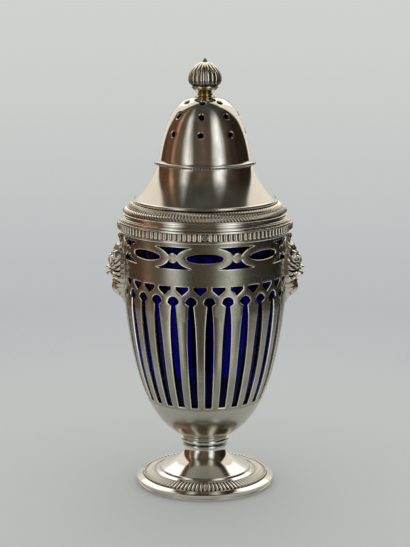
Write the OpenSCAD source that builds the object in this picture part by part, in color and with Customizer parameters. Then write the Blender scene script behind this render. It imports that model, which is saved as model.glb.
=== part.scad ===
// Sugar caster: a pierced silver vase on a trumpet foot, with a blue glass liner,
// two lion masks and a pull-off domed cover.
// Millimetres. +Z up, origin at the centre of the foot's standing face, masks on the X axis.

/* [Silver] */
// Thickness of the spun sheet
sheet = 1; // [0.8:0.1:1.3]
// Gap left for solder between soldered pieces
solder_gap = 0.04; // [0.02:0.01:0.08]

/* [Foot] */
// Diameter over the foot's lip
foot_d = 64.4; // [60:0.2:72]
// Height of the ring that the foot stands on
foot_ring_h = 2.4; // [1.6:0.1:4]
// Radial width of the standing ring
foot_ring_w = 1.8; // [1.4:0.1:3]
// Overhang of the lip beyond the standing ring
foot_lip = 0.6; // [0.3:0.1:0.7]
// Rise of the border from the lip to the trumpet
border_rise = 4.2; // [3:0.1:6]
// Diameter of the trumpet where it leaves the border
trumpet_d = 41; // [38:0.2:46]
// Step between the border and the trumpet
trumpet_step = 0.9; // [0.5:0.1:1.4]
// Height of the foot up to the knop
foot_h = 18; // [16:0.1:24]
// Diameter of the trumpet's neck
neck_d = 19.2; // [17:0.1:21]
// Gadroons round the border
border_gadroons = 96; // [72:4:120]
// Width of the gadrooned band, along the border
border_band_w = 6.4; // [5:0.1:7]
// Height of a gadroon above the border
border_gadroon_h = 0.9; // [0.6:0.1:1.2]

/* [Knop] */
// How far the knop's large bead stands out from the trumpet's neck
knop_overhang = 1.9; // [1.4:0.1:4]
// Height of the knop
knop_h = 5; // [4.4:0.1:8]

/* [Body] */
// How far the body's base stands in from the knop's bead
base_inset = 1.2; // [0.8:0.1:2]
// Diameter at the waist band
body_d = 74.6; // [66:0.2:84]
// How far the body flares from the waist band to the mouth
mouth_flare = 0.6; // [0.4:0.1:3]
// Height of the waist band's lower edge above the base
waist_h = 65.1; // [58:0.1:72]
// Height of the body from its base to the mouth
body_h = 98.2; // [90:0.1:104]
// How far the bowl spreads before it turns up
bowl_spread = 16; // [15:0.5:19]

/* [Gallery] */
// Ovals round the gallery
ovals = 8; // [7:1:9]
// Plain rail between the gallery and the mouth
gallery_rail = 2.1; // [1.6:0.1:3]
// Height of the gallery
gallery_h = 9.6; // [8:0.1:11]
// Length of an oval opening
oval_l = 16.8; // [12:0.2:18]
// Height of an oval opening
oval_h = 4.1; // [3:0.1:5]
// Diameter of the boss between two ovals
boss_d = 4.6; // [4:0.1:5.4]
// How far the ovals' frames run in under the boss
boss_bite = 0.65; // [0.5:0.05:1]

/* [Arcade] */
// Columns round the arcade
columns = 28; // [24:1:30]
// Turn of the arcade about the axis
arcade_turn = 3.2; // [0:0.1:12]
// Plain band between the gallery and the arcade
plain_band = 8.2; // [7:0.1:10]
// Width of a shield-shaped opening
shield_w = 5.8; // [4.6:0.1:6]
// Height of a shield-shaped opening
shield_h = 3.8; // [3:0.1:4.5]
// Drop from the shields' points to the tops of the keyholes
arch_drop = 0.7; // [0.5:0.1:1.2]
// Width of a keyhole's head
head_w = 5.2; // [4:0.1:5.4]
// Width of the keyhole's throat
throat_w = 1.9; // [1.4:0.1:2.4]
// Largest width of the long slot
slot_w = 3.9; // [3:0.1:4.2]
// Width of the slot's foot
slot_foot_w = 3; // [2:0.1:3.4]
// Height of the long slot from its foot to the throat
slot_h = 49.5; // [42:0.5:52]

/* [Mouth] */
// Height of the collar that takes the cover
collar_h = 5.5; // [5:0.1:8]
// Thickness of the collar
collar_wall = 2; // [1.6:0.1:2.4]
// Height of the half-round wire under the frieze
lower_wire_h = 1.2; // [0.8:0.1:1.6]
// Height of the flat wire over the frieze
upper_wire_h = 0.8; // [0.6:0.1:1.4]
// Reeds round the frieze
frieze_reeds = 108; // [84:4:120]
// Thickness of the frieze under its reeds
frieze_web = 0.7; // [0.6:0.1:1.2]
// Height of a reed above the frieze's web
reed_h = 0.8; // [0.5:0.1:1]
// Diameter of the rosettes that cover the frieze's seams
rosette_d = 3; // [2.4:0.1:3.2]

/* [Masks] */
// Height of a lion mask
mask_h = 33; // [28:0.5:34]
// Half width of a lion mask at the cheeks
mask_half_w = 9.4; // [8:0.1:11]
// How far the muzzle stands out from the body
mask_relief = 8.6; // [7:0.1:10]
// Gap between the mask's top and the mouth
mask_drop = 1.4; // [0.4:0.1:2]

/* [Liner] */
// Thickness of the glass
glass = 2.2; // [1.6:0.1:3]
// Clearance between the glass and the body
liner_clear = 0.35; // [0.3:0.05:0.6]
// Gap between the glass lip and the cover's bezel
lip_gap = 0.5; // [0.3:0.1:2]
// Diameter of the flat the liner stands on
liner_flat_d = 30; // [26:0.5:34]

/* [Cover] */
// How far above the body's mouth the bezel ends
bezel_up = 0.3; // [0.2:0.1:1.5]
// Thickness of the bezel
bezel_wall = 0.9; // [0.7:0.1:1.2]
// Radial clearance between the bezel and the collar
bezel_clear = 0.1; // [0.05:0.01:0.15]
// Gap under the cover's seat
seat_gap = 0.1; // [0.05:0.05:0.3]
// How far the cover's rim stands in from the frieze
rim_inset = 0.9; // [0.4:0.1:1.4]
// Height of the cover's rim
rim_h = 3.3; // [3:0.1:5]
// Height of the milled band above the rim
band_h = 5; // [4:0.1:7]
// How far the bell's foot stands in from the bezel
bell_inset = 3.6; // [2:0.1:4.5]
// Height of the bell above the milled band
bell_h = 16.8; // [14:0.1:24]
// Diameter of the bell's waist
bell_waist_d = 44.4; // [40:0.2:50]
// Thickness of the wire at the bell's foot
bell_wire = 1; // [0.8:0.1:1.2]

/* [Dome] */
// How far the dome's ring stands out from the bell's waist
ring_overhang = 1.2; // [0.8:0.1:3]
// Height of the dome's ring
ring_h = 2; // [1.6:0.1:3]
// How far the dome stands in from the bell's waist
dome_inset = 1; // [0.4:0.1:1.6]
// Height of the dome
dome_h = 28.3; // [25:0.1:34]
// Width of the dome's shoulder round its flat top
dome_shoulder = 9.6; // [8:0.1:11]
// How far the dome leans in on its way up
dome_lean = 1.8; // [1:0.1:3]
// Diameter of a sugar hole
hole_d = 2.8; // [2:0.1:3.2]
// Sugar holes in each row
holes = 8; // [6:1:10]
// Turn of the sugar holes about the axis
hole_turn = -6; // [-22:0.5:22]

/* [Finial] */
// Diameter of the bud
bud_d = 15.5; // [13:0.1:18]
// Height of the bud with its collar and tip
bud_h = 13.8; // [11:0.1:16]
// Lobes round the bud
lobes = 18; // [12:1:20]
// Height of the finial's neck
neck_h = 4; // [3:0.1:6]
// Smallest diameter of the finial's neck
neck_waist_d = 6.8; // [6:0.1:9]
// Diameter of the neck's foot
neck_flare_d = 9.4; // [8.6:0.1:11]
// Diameter of the neck's head, under the bud
neck_head_d = 11.4; // [9:0.1:12]
// Diameter of the finial's stud
stud_d = 3; // [2.4:0.1:3.6]
// Radial clearance of the stud in the neck, dome and washer
stud_clear = 0.1; // [0.05:0.05:0.2]
// Thickness of the washer under the nut
washer_t = 0.6; // [0.4:0.1:1]
// Height of the finial's nut
nut_h = 2; // [1.6:0.1:3]
// Width across the nut's flats
nut_af = 5.5; // [5:0.1:7]

/* [Hidden] */
$fn = 180;

silver = [0.80, 0.78, 0.74];
satin_silver = [0.70, 0.69, 0.66];
gilt = [0.72, 0.62, 0.40];
cobalt = [0.05, 0.06, 0.45];

// Heights, from the standing face up
z_border = foot_ring_h + border_rise;
z_knop = foot_h;
z_base = z_knop + knop_h;
z_waist = z_base + waist_h;
z_mouth = z_base + body_h;
z_gallery_top = z_mouth - gallery_rail;
z_gallery = z_gallery_top - gallery_h / 2;
z_shield = z_gallery_top - gallery_h - plain_band;
z_head = z_shield - shield_h - arch_drop - head_w / 2;
throat_drop = 1.5;
z_slot = z_head - throat_drop - slot_h;
z_frieze = z_mouth + lower_wire_h;
z_frieze_top = z_mouth + collar_h - upper_wire_h;
z_rosette = (z_frieze + z_frieze_top) / 2;
z_collar = z_mouth + collar_h;
z_seat = z_collar + seat_gap;
z_bezel = z_mouth + bezel_up;
z_rim = z_seat + rim_h;
z_band = z_rim + band_h;
z_ring = z_band + bell_h;
z_dome = z_ring + ring_h;
z_dome_top = z_dome + dome_h;
z_bud = z_dome_top + neck_h;
z_washer = z_dome_top - sheet - washer_t;
z_nut = z_washer - nut_h;
z_liner_lip = z_bezel - lip_gap;

// Radii
knop_r = neck_d / 2 + knop_overhang;
base_r = knop_r - base_inset;
mouth_r = body_d / 2 + mouth_flare;
collar_step = 0.2;
collar_in = mouth_r - sheet + collar_step;
collar_out = collar_in + collar_wall;
frieze_in = collar_out + solder_gap;
frieze_out = frieze_in + frieze_web + reed_h;
bezel_out = collar_in - bezel_clear;
bezel_in = bezel_out - bezel_wall;
rim_r = frieze_out - rim_inset;
bell_r = bezel_in - bell_inset;
band_in = bell_r + solder_gap;
ring_r = bell_waist_d / 2 + ring_overhang;
dome_r = bell_waist_d / 2 - dome_inset;
dome_flat_r = neck_flare_d * 0.55;
stud_bore = stud_d / 2 + stud_clear;

// How far the ovals' frames run into the rail and the plain band
oval_lap = 0.55;

// Small break of a turned edge
edge = 0.25;

curve_steps = 14;

// Points of a cubic curve through p[0] and p[3], drawn towards p[1] and p[2]
function curve(p, n = curve_steps) = [for (i = [0:n]) let (t = i / n, s = 1 - t)
    s * s * s * p[0] + 3 * s * s * t * p[1] + 3 * s * t * t * p[2] + t * t * t * p[3]];

// Points of a circular arc
function arc(c, r, from, to, n = 8) = [for (i = [0:n]) let (a = from + (to - from) * i / n)
    c + r * [cos(a), sin(a)]];

function reversed(list) = [for (i = [len(list) - 1:-1:0]) list[i]];

// Unit normal to the left of the way from a to b
function left_normal(a, b) = let (d = (b - a) / norm(b - a)) [-d[1], d[0]];

// A path moved to its left by t, with mitred corners
function inset(path, t) = let (last = len(path) - 1) [for (i = [0:last])
    let (before = left_normal(path[max(i - 1, 0)], path[max(i, 1)]),
         after = left_normal(path[min(i, last - 1)], path[min(i + 1, last)]))
    path[i] + t * (before + after) / (1 + before * after)];

// A path of [radius, height] as a table of height to radius
function radius_table(path) = [for (p = path) [p[1], p[0]]];

// A spun shell: the outline's outer face and the same face moved inwards
module spun(outer, t = sheet) {
    rotate_extrude() polygon(concat(outer, reversed(inset(outer, t))));
}

// A turned ring with a plain bore and an outline of [radius, height] from bottom to top
module turned_ring(bore, outline) {
    last = len(outline) - 1;
    rotate_extrude() polygon(concat([[bore, outline[0][1]]], outline, [[bore, outline[last][1]]]));
}

// A flat outline pushed out along the radius at an angle and a height
module radial_cut(angle, z, from, to) {
    rotate([0, 0, angle]) translate([from, 0, z]) rotate([90, 0, 90])
        linear_extrude(to - from) children();
}

// Outline of a ring of convex reeds: half-round bumps of height h on a circle of radius r
function reeds(r, h, count, steps = 6) = [for (i = [0:count - 1], k = [0:steps - 1])
    let (a = 360 * (i + k / steps) / count, across = 2 * k / steps - 1,
         bump = h * sqrt(max(0, 1 - across * across))) (r + bump) * [cos(a), sin(a)]];

function ellipse(a, b, steps = 32) = [for (i = [0:steps - 1])
    let (t = 360 * i / steps) [a * cos(t), b * sin(t)]];

// Foot
border_foot = [foot_d / 2 - 0.7, foot_ring_h + 1.2];
border_head = [trumpet_d / 2 + 0.8, z_border];
trumpet_foot = [trumpet_d / 2, z_border + trumpet_step];

function foot_path() = concat(
    [[foot_d / 2, foot_ring_h], [foot_d / 2, foot_ring_h + 0.7], border_foot, border_head],
    [border_head + [-0.2, trumpet_step]],
    curve([trumpet_foot, trumpet_foot + [-0.24 * (trumpet_d - neck_d) + 0.4, 2.3],
           [neck_d / 2 + 0.5, foot_h - 5.4], [neck_d / 2, foot_h - 0.6]]),
    [[neck_d / 2, foot_h]]);

module foot_ring() {
    ring_out = foot_d / 2 - foot_lip;
    color(silver) turned_ring(ring_out - foot_ring_w, [
        [ring_out, 0], [ring_out, foot_ring_h * 0.45], [ring_out - 0.25, foot_ring_h * 0.55],
        [ring_out - 0.25, foot_ring_h * 0.75], [ring_out, foot_ring_h * 0.85], [ring_out, foot_ring_h]]);
}

module foot_shell() {
    color(silver) spun(foot_path());
}

// A gadroon is a tongue with a bead at its outer end, lying on the sloping border
module foot_gadroons() {
    slope = border_head - border_foot;
    along = slope / norm(slope);
    lift = [along[1], -along[0]];
    web = 0.35;
    groove_r = border_gadroon_h * 0.8;
    inner = border_head - along * (norm(slope) * 0.5 - border_band_w / 2);
    outer = inner - along * border_band_w;
    tilt = atan2(inner[0] - outer[0], inner[1] - outer[1]);
    seat = lift * solder_gap;
    color(silver) difference() {
        rotate_extrude() polygon([outer + seat, outer + lift * border_gadroon_h,
            inner + lift * border_gadroon_h, inner + seat]);
        for (i = [0:border_gadroons - 1]) rotate([0, 0, 360 * (i + 0.5) / border_gadroons])
            translate([outer[0], 0, outer[1]]) rotate([0, tilt, 0])
                translate([border_gadroon_h + web, 0, -1])
                    cylinder(r = groove_r, h = border_band_w + 2, $fn = 4);
    }
}

// Knop
module knop() {
    bead = knop_h * 0.26;
    color(silver) rotate_extrude() polygon(concat(
        [[0, z_knop], [neck_d / 2 + 0.4, z_knop]],
        arc([knop_r - 0.7 - bead / 2, z_knop + bead * 0.75], bead * 0.7, -80, 80),
        [[knop_r - 1.6, z_knop + knop_h * 0.42]],
        arc([knop_r - bead, z_knop + knop_h * 0.68], bead, -75, 75),
        [[base_r, z_base - 0.2], [base_r, z_base], [0, z_base]]));
}

// Body
function body_side() = concat(
    curve([[base_r, z_base], [base_r + bowl_spread, z_base + waist_h * 0.129],
           [body_d * 0.445, z_waist - waist_h * 0.58], [body_d / 2, z_waist]], 18),
    curve([[body_d / 2, z_waist], [body_d / 2 + 0.4, z_waist + (body_h - waist_h) * 0.35],
           [body_d / 2 + 0.2, z_mouth - (body_h - waist_h) * 0.35], [mouth_r, z_mouth - 0.8]], 5),
    [[mouth_r, z_mouth]]);
body_outline = body_side();
body_table = radius_table(body_outline);
function body_radius(z) = lookup(z, body_table);

function without_repeats(path) = [for (i = [0:len(path) - 1])
    if (i == 0 || norm(path[i] - path[i - 1]) > 0.001) path[i]];
body_path = without_repeats(concat([[0, z_base]], body_outline));

// The gallery's openings round one boss: what the rail, ovals and boss leave open
module spandrel_outline() {
    pitch = 2 * body_radius(z_gallery) * sin(180 / ovals);
    reach = (pitch - boss_d) / 2 + boss_bite;
    difference() {
        square([pitch, gallery_h], center = true);
        for (side = [-1, 1]) translate([side * pitch / 2, 0])
            polygon(ellipse(reach, gallery_h / 2 + oval_lap));
        circle(d = boss_d);
    }
}

module gallery_cuts(from, to) {
    for (i = [0:ovals - 1]) {
        radial_cut(360 * i / ovals - 90, z_gallery, from, to) polygon(ellipse(oval_l / 2, oval_h / 2));
        radial_cut(360 * (i + 0.5) / ovals - 90, z_gallery, from, to) spandrel_outline();
    }
}

// Right-hand edge of a keyhole slot, from its foot up
function slot_edge() = let (foot = slot_foot_w / 2, throat = throat_w / 2, swell = foot + 0.3)
    concat(
        curve([[foot, 0], [swell, slot_h / 3], [(4 * slot_w - foot - throat) / 3 - swell, slot_h * 0.75],
               [throat, slot_h]], 8),
        arc([0, slot_h + throat_drop], head_w / 2, 0, 80, 4));

module slot_outline() {
    edge = slot_edge();
    polygon(concat(edge, [for (p = reversed(edge)) [-p[0], p[1]]]));
}

module shield_outline() {
    side = shield_h * 0.32;
    half = shield_w / 2;
    polygon([[-half, 0], [-half, -side], [0, -shield_h], [half, -side], [half, 0]]);
}

module arcade_cuts(from, to) {
    for (i = [0:columns - 1]) {
        radial_cut(360 * i / columns - 90 + arcade_turn, z_slot, from, to) slot_outline();
        radial_cut(360 * (i + 0.5) / columns - 90 + arcade_turn, z_shield, from, to) shield_outline();
    }
}

module body() {
    from = base_r + 2;
    to = mouth_r + 4;
    color(satin_silver) difference() {
        spun(body_path);
        gallery_cuts(from, to);
        arcade_cuts(from, to);
    }
}

// Lion masks: a carved relief on the body's side, in shares of the mask's half width, height and
// relief. A feature is a rounded cap of [offset, height, half width, half height, slant, relief].
face_up = 0.54;
mask_features = [
    [0, face_up, 0.66, 0.245, 0, 0.62],     // head
    [0, 0.450, 0.41, 0.108, 0, 0.86],       // muzzle
    [0, 0.512, 0.20, 0.046, 0, 1.00],       // nose
    [0.19, 0.438, 0.24, 0.066, -0.10, 0.95], // whisker pad
    [0, 0.606, 0.16, 0.150, 0, 0.84],       // bridge of the nose
    [0.32, 0.664, 0.32, 0.038, 0.08, 0.82], // brow
    [0.48, 0.540, 0.26, 0.075, 0.08, 0.70], // cheekbone
    [0, 0.715, 0.38, 0.080, 0, 0.66],       // forehead
    [0.66, 0.718, 0.19, 0.068, -0.14, 0.66], // ear
    [0, 0.330, 0.21, 0.042, 0, 0.64],       // chin
    [0, 0.235, 0.26, 0.150, 0, 0.66],       // beard
    [0, 0.955, 0.15, 0.055, 0, 0.22],       // crest leaf
    [0.12, 0.915, 0.10, 0.045, -0.20, 0.15]]; // side leaf of the crest
mask_hollows = [
    [0.32, 0.606, 0.17, 0.034, 0.04, 0.22], // eye socket
    [0.67, 0.716, 0.09, 0.038, -0.14, 0.17], // hollow of the ear
    [0, 0.378, 0.34, 0.016, 0, 0.25],       // mouth
    [0, 0.444, 0.04, 0.060, 0, 0.14]];      // cleft under the nose
mask_eye = [0.32, 0.606, 0.11, 0.022, 0.04, 0.74];
mask_outline = [[0, 0.04], [0.05, 0.13], [0.14, 0.28], [0.24, 0.52], [0.33, 0.82], [0.42, 0.97], [0.52, 1],
    [0.64, 1], [0.75, 0.88], [0.83, 0.60], [0.885, 0.34], [0.93, 0.24], [0.97, 0.26], [1, 0.13]];
mask_web = 0.07 * mask_relief;
mask_rows = 48;
mask_columns = 24;
z_mask = z_mouth - mask_drop - mask_h;

// Locks of the mane right round the face, and how far each curls, in degrees of its wave
mane_locks = 22;
mane_curl = 280;
mane_top = 0.89;
mane_foot = 0.24;
mane_relief = 0.78;
mane_furrow = 0.38;

function limit(x) = min(1, max(0, x));

function cap(f, across, up) = let (
    x = (across - f[0]) / f[2],
    y = (up - f[1] - f[4] * (across - f[0])) / f[3]) f[5] * sqrt(max(0, 1 - x * x - y * y));

// The mane's wavy locks run out from the face and die away at the outline
function mane(across, up) = let (
    reach = up > face_up ? 0.33 : 0.50,
    out = norm([across, (up - face_up) / reach]),
    turn = atan2((up - face_up) * mask_h, across * mask_half_w),
    wave = sqrt(max(0, 0.5 + 0.5 * cos(mane_locks * turn + mane_curl * sin(195 * out)))),
    fade = limit((out - 0.28) / 0.25) * limit((mane_top - up) / 0.05) * limit(up / mane_foot))
    mane_relief * sqrt(limit(1.12 - out)) * (1 - mane_furrow + mane_furrow * wave) * fade;

function carved(across, up) = let (x = abs(across),
    raised = max([mane(x, up), each [for (f = mask_features) cap(f, x, up)]]),
    sunk = max([for (f = mask_hollows) cap(f, x, up)]))
    max(raised - sunk, cap(mask_eye, x, up));

// Point of the mask at a column and a row; depth 0 lies on the body and 1 on the carved face
function mask_point(column, row, depth) = let (
    up = row / mask_rows, width = lookup(up, mask_outline),
    across = (2 * column / mask_columns - 1) * width, z = z_mask + up * mask_h,
    height = mask_web + (mask_relief - mask_web) * carved(across, up),
    r = body_radius(z) + solder_gap + depth * height,
    a = across * mask_half_w / body_radius(z) * 180 / PI) [r * cos(a), r * sin(a), z];

module mask() {
    across = mask_columns + 1;
    grid = across * (mask_rows + 1);
    points = [for (depth = [1, 0], row = [0:mask_rows], column = [0:mask_columns])
        mask_point(column, row, depth)];
    face = [for (row = [0:mask_rows - 1], column = [0:mask_columns - 1])
        let (a = row * across + column) each [[a, a + across, a + 1], [a + 1, a + across, a + across + 1]]];
    back = [for (f = face) [f[0] + grid, f[2] + grid, f[1] + grid]];
    rim = concat([for (i = [0:mask_columns]) i],
        [for (row = [1:mask_rows]) row * across + mask_columns],
        [for (i = [1:mask_columns]) mask_rows * across + mask_columns - i],
        [for (row = [1:mask_rows - 1]) (mask_rows - row) * across]);
    wall = [for (i = [0:len(rim) - 1]) let (a = rim[i], b = rim[(i + 1) % len(rim)])
        each [[a, b, a + grid], [b, b + grid, a + grid]]];
    polyhedron(points, concat(face, back, wall), convexity = 8);
}

module mask_right() {
    color(silver) mask();
}

module mask_left() {
    color(silver) rotate([0, 0, 180]) mask();
}

// Mouth
module collar() {
    color(silver) turned_ring(collar_in, [[collar_out, z_mouth], [collar_out, z_collar]]);
}

module frieze_lower_wire() {
    half = lower_wire_h / 2;
    color(silver) turned_ring(frieze_in, concat([[frieze_in + 0.3, z_mouth]],
        arc([frieze_in + 0.5, z_mouth + half], half, -80, 80), [[frieze_in + 0.3, z_frieze]]));
}

module frieze_band() {
    h = z_frieze_top - z_frieze;
    color(silver) difference() {
        translate([0, 0, z_frieze]) linear_extrude(h)
            polygon(reeds(frieze_in + frieze_web, reed_h, frieze_reeds));
        translate([0, 0, z_frieze - 1]) cylinder(r = frieze_in, h = h + 2);
        rosette_seats(rosette_d / 2 + solder_gap);
    }
}

// The two round seats over the frieze's seams, at the front and the back
module rosette_seats(r) {
    for (turn = [-90, 90])
        radial_cut(turn, z_rosette, frieze_in + frieze_web / 2, frieze_out + 2) circle(r = r);
}

module frieze_rosettes() {
    color(silver) for (turn = [-90, 90]) rotate([0, 0, turn])
        translate([frieze_in + frieze_web / 2, 0, z_rosette]) rotate([0, 90, 0]) {
            cylinder(d = rosette_d, h = frieze_web / 2 + reed_h * 0.6);
            translate([0, 0, frieze_web / 2])
                cylinder(d1 = rosette_d * 0.8, d2 = rosette_d * 0.3, h = reed_h);
        }
}

module frieze_upper_wire() {
    color(silver) turned_ring(frieze_in, [
        [frieze_out - edge, z_frieze_top], [frieze_out, z_frieze_top + edge],
        [frieze_out, z_collar - edge], [frieze_out - edge, z_collar]]);
}

// Liner: a glass cup that follows the inside of the body
module liner() {
    lip_straight = 5;
    lip_in = 0.6;
    wall = [for (p = inset(body_path, sheet + liner_clear))
        if (p[0] > liner_flat_d / 2 && p[1] < z_liner_lip - lip_straight - 1) p];
    lip_r = mouth_r - sheet - liner_clear - lip_in;
    lip = glass / 2;
    flat_z = wall[0][1] - edge;
    outer = concat([[0, flat_z], [liner_flat_d / 2 - 2 * edge, flat_z]], wall,
        [[lip_r, z_liner_lip - lip_straight], [lip_r, z_liner_lip - lip]]);
    inner = inset(outer, glass);
    color(cobalt) rotate_extrude() polygon(concat(outer,
        arc([lip_r - lip, z_liner_lip - lip], lip, 0, 180), reversed(inner)));
}

// Cover
module lid_bezel() {
    color(silver) turned_ring(bezel_in, [[bezel_out - edge, z_bezel], [bezel_out, z_bezel + 2 * edge],
        [bezel_out, z_rim - sheet]]);
}

// A hollow moulding: two fillets with a cove between them, and a flange that carries the bell
module lid_rim() {
    r = rim_r;
    flange = bell_r - sheet;
    cove = 1.7;
    fillet = 1.2;
    moulding = concat([[r - edge, z_seat], [r, z_seat + edge], [r, z_seat + rim_h * 0.28]],
        curve([[r - fillet, z_seat + rim_h * 0.34], [r - cove, z_seat + rim_h * 0.4],
               [r - cove, z_seat + rim_h * 0.6], [r - fillet - edge, z_seat + rim_h * 0.72]], 6),
        [[r - fillet, z_seat + rim_h * 0.76], [r - fillet, z_rim - edge], [r - fillet - edge, z_rim]]);
    inside = bezel_out + solder_gap + edge;
    color(silver) rotate_extrude() polygon(concat([[inside, z_seat]], moulding,
        [[flange, z_rim], [flange, z_rim - sheet], [inside, z_rim - sheet]]));
}

// A stamped strip, hollow behind, that slopes from the rim up to the bell's foot
module lid_milled_band() {
    foot = rim_r - 1.9;
    head = band_in + 0.8;
    color(silver) spun(concat([[foot, z_rim]],
        curve([[foot, z_rim + edge], [foot - 0.3, z_rim + band_h * 0.3],
               [head + 1.2, z_band - band_h * 0.25], [head, z_band]], 8),
        [[band_in, z_band]]));
}

module bell_wire() {
    half = bell_wire / 2;
    color(silver) turned_ring(band_in, concat([[band_in + 0.2, z_band]],
        arc([band_in + 0.45, z_band + half], half, -80, 80), [[band_in + 0.2, z_band + bell_wire]]));
}

module lid_bell() {
    foot = bell_r;
    waist = bell_waist_d / 2;
    sweep = 1.2;
    color(silver) spun(concat([[foot, z_rim]],
        curve([[foot, z_band + bell_wire * 0.6], [foot - (foot - waist) * 0.45, z_band + bell_h * 0.32],
               [waist + sweep, z_band + bell_h * 0.65], [waist, z_ring - 0.6]]),
        [[waist, z_ring]]));
}

// Dome
module dome_ring() {
    r = ring_r;
    bore = dome_r - sheet;
    color(silver) turned_ring(bore, concat([[r - 1.6, z_ring], [r - 0.7, z_ring + 0.2]],
        arc([r - 0.6, z_ring + ring_h * 0.58], ring_h * 0.27, -90, 90), [[r - 1.8, z_dome]]));
}

dome_path = concat([[dome_r, z_dome]],
    curve([[dome_r, z_dome + edge], [dome_r - dome_lean, z_dome + dome_h * 0.483],
           [dome_flat_r + dome_shoulder, z_dome_top], [dome_flat_r, z_dome_top]], 18),
    [[stud_bore, z_dome_top]]);

// Rows of sugar holes, as [height up the dome, slope of the dome's face there]
hole_rows = [[0.45, 17], [0.73, 29], [0.94, 56]];

module lid_dome() {
    sides = radius_table([for (p = dome_path) if (p[0] > dome_flat_r - 0.1) p]);
    color(silver) difference() {
        spun(dome_path);
        for (row = hole_rows, i = [0:holes - 1]) let (z = z_dome + row[0] * dome_h, r = lookup(z, sides))
            rotate([0, 0, 360 * i / holes - 90 + hole_turn]) translate([r, 0, z])
                rotate([0, 90 - row[1], 0]) cylinder(d = hole_d, h = 3 * sheet, center = true);
    }
}

// Finial
module finial_neck() {
    flare = neck_flare_d / 2;
    head = neck_head_d / 2;
    waist = neck_waist_d / 2 - 2 * edge;
    color(gilt) turned_ring(stud_bore, concat([[flare, z_dome_top]],
        curve([[flare, z_dome_top + edge], [waist, z_dome_top + neck_h * 0.15],
               [waist, z_dome_top + neck_h * 0.45], [head, z_bud - edge]], 10),
        [[head, z_bud]]));
}

// The bud: a lobed ovoid over a plain collar, with a small leafy cap at its tip
bud_collar = 1.4;
bud_tip = 1.9;
bud_cap_r = 3.2;
bud_cap_h = 1.2;
bud_rings = 14;
lobe_steps = 6;
lobe_depth = 0.09;

bud_profile = curve([[0.82, 0], [1.21, 0.25], [0.94, 0.8], [0.16, 1]], bud_rings);

module bud_lobes() {
    around = lobes * lobe_steps;
    z0 = z_bud + bud_collar;
    h = bud_h - bud_collar - bud_tip;
    function swell(k) = 1 - lobe_depth * (1 - abs(sin(180 * k / lobe_steps)));
    function rim_point(ring, k) = let (p = bud_profile[ring], a = 360 * k / around,
        r = bud_d / 2 * p[0] * swell(k)) [r * cos(a), r * sin(a), z0 + h * p[1]];
    points = concat([for (ring = [0:bud_rings], k = [0:around - 1]) rim_point(ring, k)],
        [[0, 0, z0], [0, 0, z0 + h]]);
    top = bud_rings * around;
    side = [for (ring = [0:bud_rings - 1], k = [0:around - 1])
        let (a = ring * around + k, b = ring * around + (k + 1) % around)
        each [[a, a + around, b], [b, a + around, b + around]]];
    ends = [for (k = [0:around - 1]) let (n = (k + 1) % around)
        each [[k, n, len(points) - 2], [top + n, top + k, len(points) - 1]]];
    polyhedron(points, concat(side, ends), convexity = 6);
}

module finial_bud() {
    stud_foot = z_nut - 0.8;
    collar_r = bud_d / 2 * 0.78;
    color(silver) union() {
        bud_lobes();
        rotate_extrude() polygon(concat([[0, z_bud], [collar_r - 0.6, z_bud]],
            arc([collar_r - 0.5, z_bud + bud_collar * 0.55], bud_collar * 0.5, -80, 80, 6),
            [[0, z_bud + bud_collar + edge]]));
        translate([0, 0, z_bud + bud_h - bud_tip]) rotate_extrude() polygon([[0, -bud_cap_h],
            [bud_cap_r * 0.85, -bud_cap_h], [bud_cap_r, -bud_cap_h * 0.6], [bud_cap_r * 0.4, 0],
            [bud_cap_r * 0.3, bud_tip * 0.4], [bud_cap_r * 0.1, bud_tip], [0, bud_tip]]);
        translate([0, 0, stud_foot]) cylinder(d = stud_d, h = z_bud - stud_foot + edge);
    }
}

module finial_washer() {
    r = nut_af * 0.65;
    color(silver) turned_ring(stud_bore, [[r, z_washer], [r, z_washer + washer_t]]);
}

module finial_nut() {
    color(silver) translate([0, 0, z_nut]) difference() {
        cylinder(d = nut_af / cos(30), h = nut_h, $fn = 6);
        translate([0, 0, -1]) cylinder(d = stud_d + 0.04, h = nut_h + 2);
    }
}

foot_ring();
foot_shell();
foot_gadroons();
knop();
body();
mask_left();
mask_right();
collar();
frieze_lower_wire();
frieze_band();
frieze_rosettes();
frieze_upper_wire();
liner();
lid_bezel();
lid_rim();
lid_milled_band();
bell_wire();
lid_bell();
dome_ring();
lid_dome();
finial_neck();
finial_bud();
finial_washer();
finial_nut();
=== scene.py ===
"""Dress the pierced silver sugar caster for its studio picture.

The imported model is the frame. Turned pieces are spun again with softened edges, the pierced body and
dome are cut as repeating panels, and the milled and cast ornament is laid round them by Geometry Nodes.
Sizes are in millimetres, angles in degrees, and the front faces -Y.
"""

import logging
import math
from dataclasses import dataclass, field
from enum import Enum
from typing import ClassVar, Sequence

import bmesh
import bpy
import numpy as np
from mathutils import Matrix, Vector
from mathutils.geometry import delaunay_2d_cdt
from numpy.lib.stride_tricks import sliding_window_view


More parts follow.
